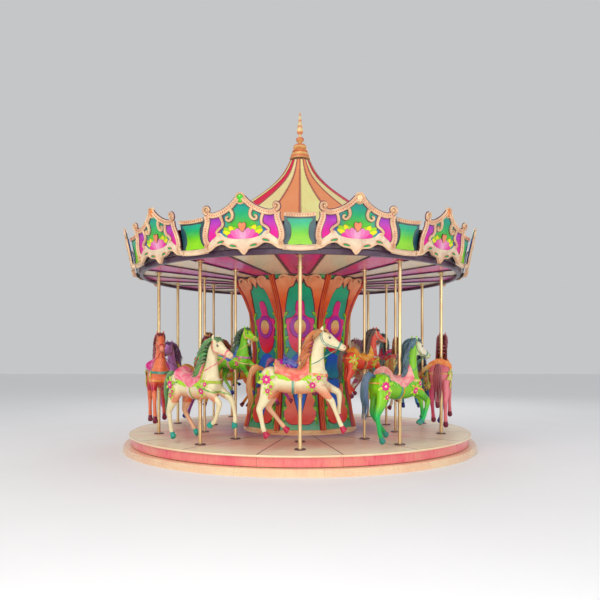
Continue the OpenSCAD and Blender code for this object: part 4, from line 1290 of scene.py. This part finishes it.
topRail = [(0.035, 0.695), (0.12, 0.610), (0.22, 0.548), (0.32, 0.510), (0.395, 0.502), (0.452, 0.525)]
sidePost = [(0.465, 0.505), (0.460, 0.430), (0.488, 0.340), (0.505, 0.260), (0.500, 0.190), (0.470, 0.140)]
innerPost = [(0.285, 0.500), (0.258, 0.430), (0.262, 0.370), (0.315, 0.330), (0.345, 0.295),
             (0.330, 0.262), (0.305, 0.262)]
dropScroll = [(0.150, 0.575), (0.118, 0.520), (0.122, 0.465), (0.160, 0.430), (0.195, 0.440),
              (0.198, 0.470), (0.175, 0.478)]


def makeCornice(enamel, carved, tree, beadPaint, gemPaint):
    boards, frames, arts, gems = Shape(), Shape(), Shape(), Shape()
    beadPaths = []
    board = cornice["board"]
    face = board + 0.001
    ink = (0.12, 0.02, 0.06)
    carvedTone = (0.94, 0.72, 0.50)
    jewels = [(0.12, 0.60, 0.08), (0.93, 0.72, 0.45), (0.90, 0.30, 0.10)]
    for i in range(shields):
        lay = corniceLay(360 / shields * (i + 0.5))
        def outlined(path, width, height, taper=None):
            moulding(arts, path, lay, width + 0.020, 0.010, face - 0.003, ink, taper=taper)
            moulding(frames, path, lay, width, height, face, carvedTone, taper=taper)

        # painted board behind everything
        back = bothSides([(0, 0.09), (0.10, 0.12), (0.30, 0.19), (0.48, 0.16), (0.515, 0.20),
                          (0.512, 0.26), (0.49, 0.34), (0.462, 0.43), (0.462, 0.50), (0.42, 0.505),
                          (0.395, 0.49), (0.32, 0.50), (0.22, 0.538), (0.12, 0.60), (0.045, 0.685),
                          (0, 0.70)])
        ground = lambda s, t: blended(blended((0.20, 0.62, 0.04), (0.0, 0.38, 0.30), (t - 0.30) / 0.30),
                                      (0.02, 0.14, 0.50), (abs(s) - 0.16) / 0.14)
        plaque(boards, back, lay, 0.0, board, ground, 0, 0.05, 0)
        # side panels
        for side in (-1, 1):
            panel = [(side * s, t) for s, t in [(0.30, 0.30), (0.36, 0.24), (0.46, 0.18), (0.475, 0.28),
                                                (0.445, 0.40), (0.445, 0.49), (0.29, 0.49), (0.275, 0.42),
                                                (0.29, 0.36)]]
            plaque(arts, panel, lay, face - 0.002, face + 0.003,
                   lambda s, t: blended((0.85, 0.12, 0.40), (0.40, 0.10, 0.55), (t - 0.25) / 0.2), 0, 0.06,
                   0.001)
        # lotus and heart in the middle window
        yellow = (0.90, 0.86, 0.12)
        petals = [(side * a, size, wide, tone) for a, size, wide, tone in (
            (58, 0.30, 0.036, lime), (66, 0.29, 0.030, yellow), (46, 0.25, 0.036, yellow),
            (36, 0.20, 0.034, lime), (74, 0.215, 0.040, (0.86, 0.16, 0.46)),
            (54, 0.195, 0.042, (0.90, 0.26, 0.54)),
            (32, 0.165, 0.042, (0.92, 0.36, 0.62))) for side in (-1, 1)] + [(0, 0.145, 0.046,
                    (0.94, 0.50, 0.70))]
        for order, (angle, length, wide, tone) in enumerate(petals):
            a = math.radians(angle)
            petal = []
            for j in range(20):
                b = 2 * math.pi * j / 20
                along, across = length * (0.5 - 0.5 * math.cos(b)), wide * math.sin(b) * (1 - 0.35
                        * math.cos(b) ** 3)
                petal.append((math.sin(a) * along + math.cos(a) * across,
                              0.185 + math.cos(a) * along - math.sin(a) * across))
            level = face + 0.001 + 0.0008 * (order // 2)
            plaque(arts, grown(petal if area(petal) > 0 else petal[::-1], 0.003), lay, board,
                   level - 0.002, ink, 0, 0.2, 0)
            plaque(arts, petal, lay, board, level, tone, 0, 0.04, 0.0015)
        heart = bothSides(spline([(0, 0.285), (0.022, 0.305), (0.046, 0.345), (0.046, 0.385),
                                  (0.024, 0.400), (0, 0.385)], 4))
        plaque(arts, grown(heart if area(heart) > 0 else heart[::-1], 0.004), lay, board, face + 0.013,
               ink, 0, 0.2, 0)
        plaque(arts, heart, lay, board, face + 0.018, (0.93, 0.40, 0.26), 0, 0.04, 0.003)
        # cream apron with its wavy lower edge
        apron = bothSides(spline([(0, 0.0), (0.028, 0.028), (0.07, 0.072), (0.18, 0.092), (0.27, 0.140),
                                  (0.365, 0.124), (0.455, 0.064), (0.530, 0.050)],
                                  4) + spline([(0.535, 0.10), (0.480, 0.150), (0.420, 0.200),
                                  (0.365, 0.240), (0.330, 0.285), (0.285, 0.278), (0.235, 0.232),
                                  (0.127, 0.205), (0, 0.198)], 4))
        plaque(frames, apron, lay, 0.0, face + 0.016, lambda s,
               t: blended((0.93, 0.62, 0.45), (0.93, 0.80, 0.60), t / 0.16), 0, 0.05, 0.005)
        hem = spline([(0, 0.012), (0.03, 0.040), (0.07, 0.084), (0.18, 0.104), (0.27, 0.150),
                      (0.365, 0.134), (0.455, 0.076), (0.528, 0.064)], 5)
        for side in (-1, 1):
            path = [(side * s, t) for s, t in hem]
            moulding(frames, path, lay, 0.022, 0.012, face + 0.014, carvedTone)
            for s, t, a in ((0.135, 0.118, 12), (0.30, 0.172, -14)):
                sprig = [(side * (s + 0.045 * math.cos(b) * math.cos(math.radians(a)) - 0.013
                                  * math.sin(b) * math.sin(math.radians(a))),
                          t + 0.045 * math.cos(b) * math.sin(math.radians(a)) + 0.013 * math.sin(b))
                         for b in [2 * math.pi * j / 16 for j in range(16)]]
                plaque(arts, grown(sprig if area(sprig) > 0 else sprig[::-1], 0.008), lay, face + 0.012,
                       face + 0.020, (0.80, 0.30, 0.22), 0, 0.2, 0)
                plaque(arts, sprig, lay, face + 0.012, face + 0.024, (0.05, 0.36, 0.14), 0, 0.2, 0.002)
            # carved rails and scrolls
            rail = [(side * s, t) for s, t in spline(topRail, 6)]
            curl = volute((side * 0.452, 0.575), 0.050, -90, 1.35, side)
            outlined(rail, 0.062, 0.028)
            outlined(curl, 0.036, 0.032, lambda t: 1.0 - 0.55 * t)
            post = [(side * s, t) for s, t in spline(sidePost, 6)]
            outlined(post, 0.068, 0.026)
            foot = volute((side * 0.486, 0.122), 0.034, 90, 1.1, -side)
            outlined(foot, 0.024, 0.034, lambda t: 1.0 - 0.5 * t)
            slim = [(side * s, t) for s, t in spline(innerPost, 6)]
            outlined(slim, 0.036, 0.026, lambda t: 1.0 - 0.3 * t)
            drop = [(side * s, t) for s, t in spline(dropScroll, 6)]
            outlined(drop, 0.040, 0.030, lambda t: 1.0 - 0.45 * t)
            for path in (rail, post):
                beadPaths.append([lay(s, t, face + 0.016) for s, t in path[1:-1]])
            ball(frames, lay(side * 0.452, 0.575, face + 0.02), 0.016, carvedTone)
        # jewel in its collar
        ring = [(0.058 * math.cos(a),
                 0.690 + 0.062 * math.sin(a)) for a in [2 * math.pi * j / 28 for j in range(29)]]
        moulding(frames, ring, lay, 0.024, 0.030, face - 0.01, carvedTone)
        turn = (lay(1, 0, 0) - lay(0, 0, 0)), (lay(0, 1, 0) - lay(0, 0, 0)), (lay(0, 0, 1) - lay(0, 0, 0))
        basis = Matrix(turn).transposed()
        ball(gems, lay(0, 0.690, face), (0.048, 0.052, 0.026), jewels[(i + 1) % 3], 0, 10, 20, basis)

        # link between two shields
        lay = corniceLay(360 / shields * i)
        half = cornice["linkHalf"]
        plaque(boards, [(-half, 0.06), (half, 0.06), (half, 0.485), (-half, 0.485)], lay, 0.0, board * 0.8,
               (0.03, 0.10, 0.12), 0, 0.05, 0)
        waist = bothSides(spline([(0, 0.115), (0.150, 0.115), (0.118, 0.19), (0.105, 0.27), (0.120, 0.36),
                                  (0.155, 0.425), (0, 0.425)], 3))
        plaque(arts, grown(waist if area(waist) > 0 else waist[::-1], 0.006), lay, board * 0.6,
               board + 0.002, ink, 0, 0.2, 0)
        plaque(arts, waist, lay, board * 0.6, board + 0.006, lambda s,
               t: blended((0.30, 0.75, 0.04), (0.0, 0.42, 0.25), (t - 0.2) / 0.2), 0, 0.05, 0.002)
        cap = [(-half + 2 * half * j / 12, 0.480 - 0.012 * math.sin(math.pi * j / 12)) for j in range(13)]
        moulding(frames, cap, lay, 0.050, 0.026, face - 0.004, carvedTone)
        beadPaths.append([lay(s, t, face + 0.012) for s, t in cap[1:-1]])
        sill = [(-half - 0.02 + 2 * (half + 0.02) * j / 12,
                 0.085 - 0.012 * math.sin(math.pi * j / 12)) for j in range(13)]
        moulding(frames, sill, lay, 0.070, 0.026, face - 0.004, (0.93, 0.74, 0.54))
    finished(boards.build("cornice_boards", [enamel]), "platform", "shield_paint", "cornice_shields")
    finished(frames.build("cornice_carving", [carved]), "platform", "carved_cream", "cornice_frames")
    finished(arts.build("cornice_painting", [enamel]), "platform", "shield_paint")
    finished(gems.build("cornice_jewels", [gemPaint]), "platform", "finial_paint")
    piece = beaded("cornice_beading", beadPaths, tree, 0.030, 0.0085, beadPaint)
    finished(piece, "platform", "carved_cream")
    print("cornice done")


roof = dict(stripes=24, rings=40, across=10, sag=0.040, thick=0.004, topR=0.182, innerR=0.170)


def makeRoof(canvas, tree, threadPaint):
    outerR = canvasHigh.x
    rise = 1.630
    base = canvasLow.z + roof["thick"]

    def height(r):
        u = min(max((r - roof["innerR"]) / (outerR - roof["innerR"]), -0.01), 1)
        return base + rise * (0.868 * (1 - u) ** 1.508 + 0.132 * math.exp(-u / 0.05))

    shape = Shape()
    stripeTones = [(0.90, 0.85, 0.42), (0.90, 0.42, 0.26), (0.91, 0.82, 0.46), (0.80, 0.08, 0.14)]
    stripeOrder = [0, 1, 2, 3] * 3 + [0, 3, 2, 1] * 3
    rings = roof["rings"]
    columns = roof["stripes"] * roof["across"]
    radii = [roof["topR"] + (outerR - 0.004 - roof["topR"]) * (i / rings) ** 1.35 for i in range(rings + 1)]
    verts, grain, tints = [], [], []

    def level(i, j, drop):
        r = radii[i]
        share = (j % roof["across"]) / roof["across"]
        span = r * 2 * math.pi / roof["stripes"]
        dip = roof["sag"] * 4 * share * (1 - share) * min(1, span / 0.5) * math.sin(math.pi * min(1,
                (i / rings) ** 0.8)) ** 0.6
        return height(r) - dip * 0.45 - drop

    for drop in (0, roof["thick"]):
        for i in range(rings + 1):
            for j in range(columns):
                a = 2 * math.pi * j / columns - math.pi / 2
                verts.append(Vector((radii[i] * math.cos(a), radii[i] * math.sin(a), level(i, j, drop))))
                grain.append((j / columns * 14.0, radii[i]))
                tints.append((1, 1, 1))
    half = (rings + 1) * columns
    shape.add(verts, [], (1, 1, 1), 0, grain)
    for i in range(rings):
        for j in range(columns):
            k = (j + 1) % columns
            a, b, c, d = i * columns + j, i * columns + k, (i + 1) * columns + k, (i + 1) * columns + j
            stripe = stripeOrder[(j // roof["across"]) % roof["stripes"]]
            shape.faces += [(a, d, c, b), (half + a, half + b, half + c, half + d)]
            shape.slots += [stripe, stripe]
    for j in range(columns):
        k = (j + 1) % columns
        last = rings * columns
        shape.faces += [(last + j, half + last + j, half + last + k, last + k), (k, half + k, half + j, j)]
        shape.slots += [0, 0]
    materials = []
    for i, tone in enumerate(stripeTones):
        materials.append(canvas(f"canvas_{i}", tone))
    piece = shape.build("roof_tilt", materials)
    finished(piece, "platform", "canvas", "roof_canvas")
    flatArea = sum(math.pi * (radii[i] + radii[i + 1]) * math.hypot(radii[i + 1] - radii[i],
                                                                    height(radii[i + 1]) - height(radii[i]))
                   for i in range(rings))
    print("canvas area", round(flatArea, 2))
    # seam welts and stitches over every seam
    welts, stitches = Shape(), []
    for s in range(roof["stripes"]):
        a = 2 * math.pi * s / roof["stripes"] - math.pi / 2
        path = [Vector((r * math.cos(a), r * math.sin(a), height(r) + 0.0015)) for r in radii]
        rows = [(*p, 0.0045, 0.010) for p in path]
        tube(welts, rows, 6, up=(0, 0, 1), tint=(0.30, 0.05, 0.08))
        for off in (-0.018, 0.018):
            side = Vector((-math.sin(a), math.cos(a), 0)) * off
            stitches.append([p + side + Vector((0, 0, 0.001)) for p in path[4:]])
    finished(welts.build("roof_seams", [threadPaint]), "platform", "canvas")
    piece = beaded("roof_stitches", stitches, tree, 0.045, 0.0042, threadPaint, 0.1)
    finished(piece, "platform", "canvas")
    print("roof done")


def makeFinial(enamel):
    shape = Shape()
    z = finialLow.z
    tone = lambda p: blended(blended((0.93, 0.62, 0.32), (0.93, 0.84, 0.50), (p.z - z - 0.30) / 0.3),
                             (0.75, 0.12, 0.14), 0.5 + 0.5 * math.sin(p.z * 60.0) - 0.35)
    cap = [(0.172, 0.0), (0.176, 0.012), (0.172, 0.034), (0.150, 0.052), (0.146, 0.060), (0.158, 0.070),
           (0.152, 0.092), (0.126, 0.110), (0.118, 0.118), (0.134, 0.128), (0.126, 0.150), (0.094, 0.166),
           (0.088, 0.172), (0.108, 0.182), (0.118, 0.205), (0.112, 0.232), (0.088, 0.254), (0.050, 0.268),
           (0.028, 0.278), (0.026, 0.288)]
    knob = [(0.034, 0.294), (0.058, 0.312), (0.070, 0.338), (0.064, 0.364), (0.040, 0.384), (0.022, 0.394),
            (0.020, 0.420), (0.030, 0.432), (0.050, 0.456), (0.056, 0.486), (0.050, 0.530),
            (0.040, 0.590), (0.030, 0.660), (0.020, 0.740), (0.010, 0.800),
            (0.0015, finialHigh.z - finialLow.z)]
    rows = [(r, z + h) for r, h in spline(cap, 3) + spline(knob, 3)]
    lathe(shape, rows, 56, tone)
    finished(shape.build("finial_turning", [enamel], angle=60), "platform", "finial_paint", "finial")


def dressFrame(finishes):
    for name, material in finishes.items():
        for slot in nodes[name].material_slots:
            slot.material = material


def makeRibs(enamel):
    shape = Shape()
    low, high = boxOf("ceiling_cream")
    inner, outer = 1.125, boxOf("ceiling_magenta")[1].x - 0.005
    for i in range(24):
        turn = front(7.5 + 15 * i)
        rows = []
        for j in range(9):
            r = inner + (outer - inner) * j / 8
            z = low.z + (high.z - 0.008 - low.z) * (r - inner) / (outer - inner)
            rows.append((*(turn @ Vector((0, -r, z - 0.006))), 0.012, 0.022))
        tube(shape, rows, 8, up=(0, 0, 1), tint=(0.07, 0.03, 0.07))
    ring = [(outer - 0.02, high.z - 0.055), (outer + 0.035, high.z - 0.055),
            (outer + 0.045, high.z - 0.01), (outer + 0.045, high.z + 0.01), (outer - 0.02, high.z - 0.012)]
    sides = 96
    verts, faces = [], []
    for r, z in ring:
        for j in range(sides):
            a = 2 * math.pi * j / sides
            verts.append(Vector((r * math.cos(a), r * math.sin(a), z)))
    n = len(ring)
    for i in range(n):
        for j in range(sides):
            k, m = (j + 1) % sides, (i + 1) % n
            faces.append((i * sides + j, i * sides + k, m * sides + k, m * sides + j))
    if faceTurns(verts, faces):
        faces = [tuple(reversed(f)) for f in faces]
    shape.add(verts, faces, (0.07, 0.03, 0.07))
    finished(shape.build("ceiling_ribs", [enamel]), "platform", "dark_timber")


print("materials")
enamel = enamelFinish()
carved = enamelFinish("carved_paint", shade=0.42, roughness=0.42, coat=0.2, streak=(1, 1, 0.4))
hair, leather, cloth = hairFinish(), leatherFinish(), clothFinish()
gloss = enamelFinish("eye_gloss", shade=0.05, roughness=0.12, coat=1.0)
poleBrass = brassFinish("pole_brass", (0.92, 0.72, 0.38), (0.62, 0.36, 0.16), 0.28)
darkIron = metalPaint("dark_iron", (0.16, 0.06, 0.07))
beadPaint = plainPaint("bead_paint", (0.62, 0.12, 0.10), (0.80, 0.32, 0.20), 20.0)
threadPaint = plainPaint("seam_thread", (0.28, 0.06, 0.09), (0.45, 0.14, 0.12), 20.0, 0.7, 0.0)


def stripedCanvas(name, tone):
    finish = Finish(name, roughness=0.8)
    uv = finish.node("ShaderNodeUVMap", {"uv_map": "grain"})
    across, along, _ = finish.parts(uv)
    weave = (across * 1400.0).sine() * (along * 1400.0).sine()
    stain = finish.noise(2.2, 5, distortion=0.7).between(0.4, 0.75)
    streaks = finish.noise(26.0, 4, vector=uv, stretch=(1.0, 0.12, 1.0)).between(0.45, 0.8)
    shaded = finish.mix(stain * 0.4, tone, tuple(c * k for c, k in zip(tone, (0.95, 0.72, 0.66))))
    finish.color(finish.vivid(finish.mix(streaks * 0.16, shaded, (0.62, 0.28, 0.24)), 1.2))
    finish.bump(weave * 0.5 + stain, 0.25, 0.002)
    return finish.material


makeStage()
beads = beadTree()
makeHorses([enamel, hair, leather, cloth, gloss])
makeDrum(enamel, carved)
makeCornice(enamel, carved, beads, beadPaint, gloss)
makeRoof(stripedCanvas, beads, threadPaint)
makeFinial(carved)
makeRibs(enamel)
steel = metalPaint("frame_steel", (0.20, 0.21, 0.24))
brightSteel = brassFinish("bright_steel", (0.60, 0.60, 0.62), (0.35, 0.34, 0.34), 0.3)
timber = plainPaint("timber_varnish", (0.42, 0.24, 0.12), (0.30, 0.15, 0.07), 6.0)
darkTimber = plainPaint("dark_timber", (0.10, 0.06, 0.08), (0.05, 0.03, 0.05), 6.0)
frameFinishes = {
    "base_plate": steel, "tie_straps": steel, "centre_post": steel, "slewing_race": brightSteel,
    "gearmotor": metalPaint("motor_blue", (0.10, 0.24, 0.42)), "crown_wheel": brightSteel,
    "gear_ring": brightSteel,
    "step_ring": plainPaint("step_cream", (0.93, 0.72, 0.48), (0.90, 0.58, 0.40), 1.6),
    "deck_frame": timber, "deck_boards": deckFinish(),
    "deck_nosing": plainPaint("nosing_cream", (0.93, 0.80, 0.55), (0.92, 0.66, 0.44), 1.4),
    "rim_band": plainPaint("rim_pink", (0.86, 0.16, 0.24), (0.90, 0.36, 0.30), 1.2),
    "deck_bushes": darkIron, "drum_base": plainPaint("base_orange", (0.93, 0.45, 0.24), (0.93, 0.72, 0.42),
                                                     2.0),
    "drum_panels": plainPaint("panel_green", (0.10, 0.42, 0.12), (0.03, 0.30, 0.20), 2.0),
    "frame_rings": darkTimber, "sweeps": darkTimber,
    "ceiling_cream": plainPaint("ceiling_cream", (0.93, 0.83, 0.60), (0.92, 0.76, 0.54), 1.0),
    "ceiling_magenta": plainPaint("ceiling_magenta", (0.86, 0.03, 0.22), (0.55, 0.03, 0.42), 1.0),
    "pole_guides": poleBrass, "crank_bearings": darkIron, "roof_mast": timber, "rafters": timber,
    "drive_pinion": brightSteel, **{f"crankshaft_{k}": brightSteel for k in range(cranks)},
}
dressFrame(frameFinishes)
print("frame dressed")
bpy.context.view_layer.update()
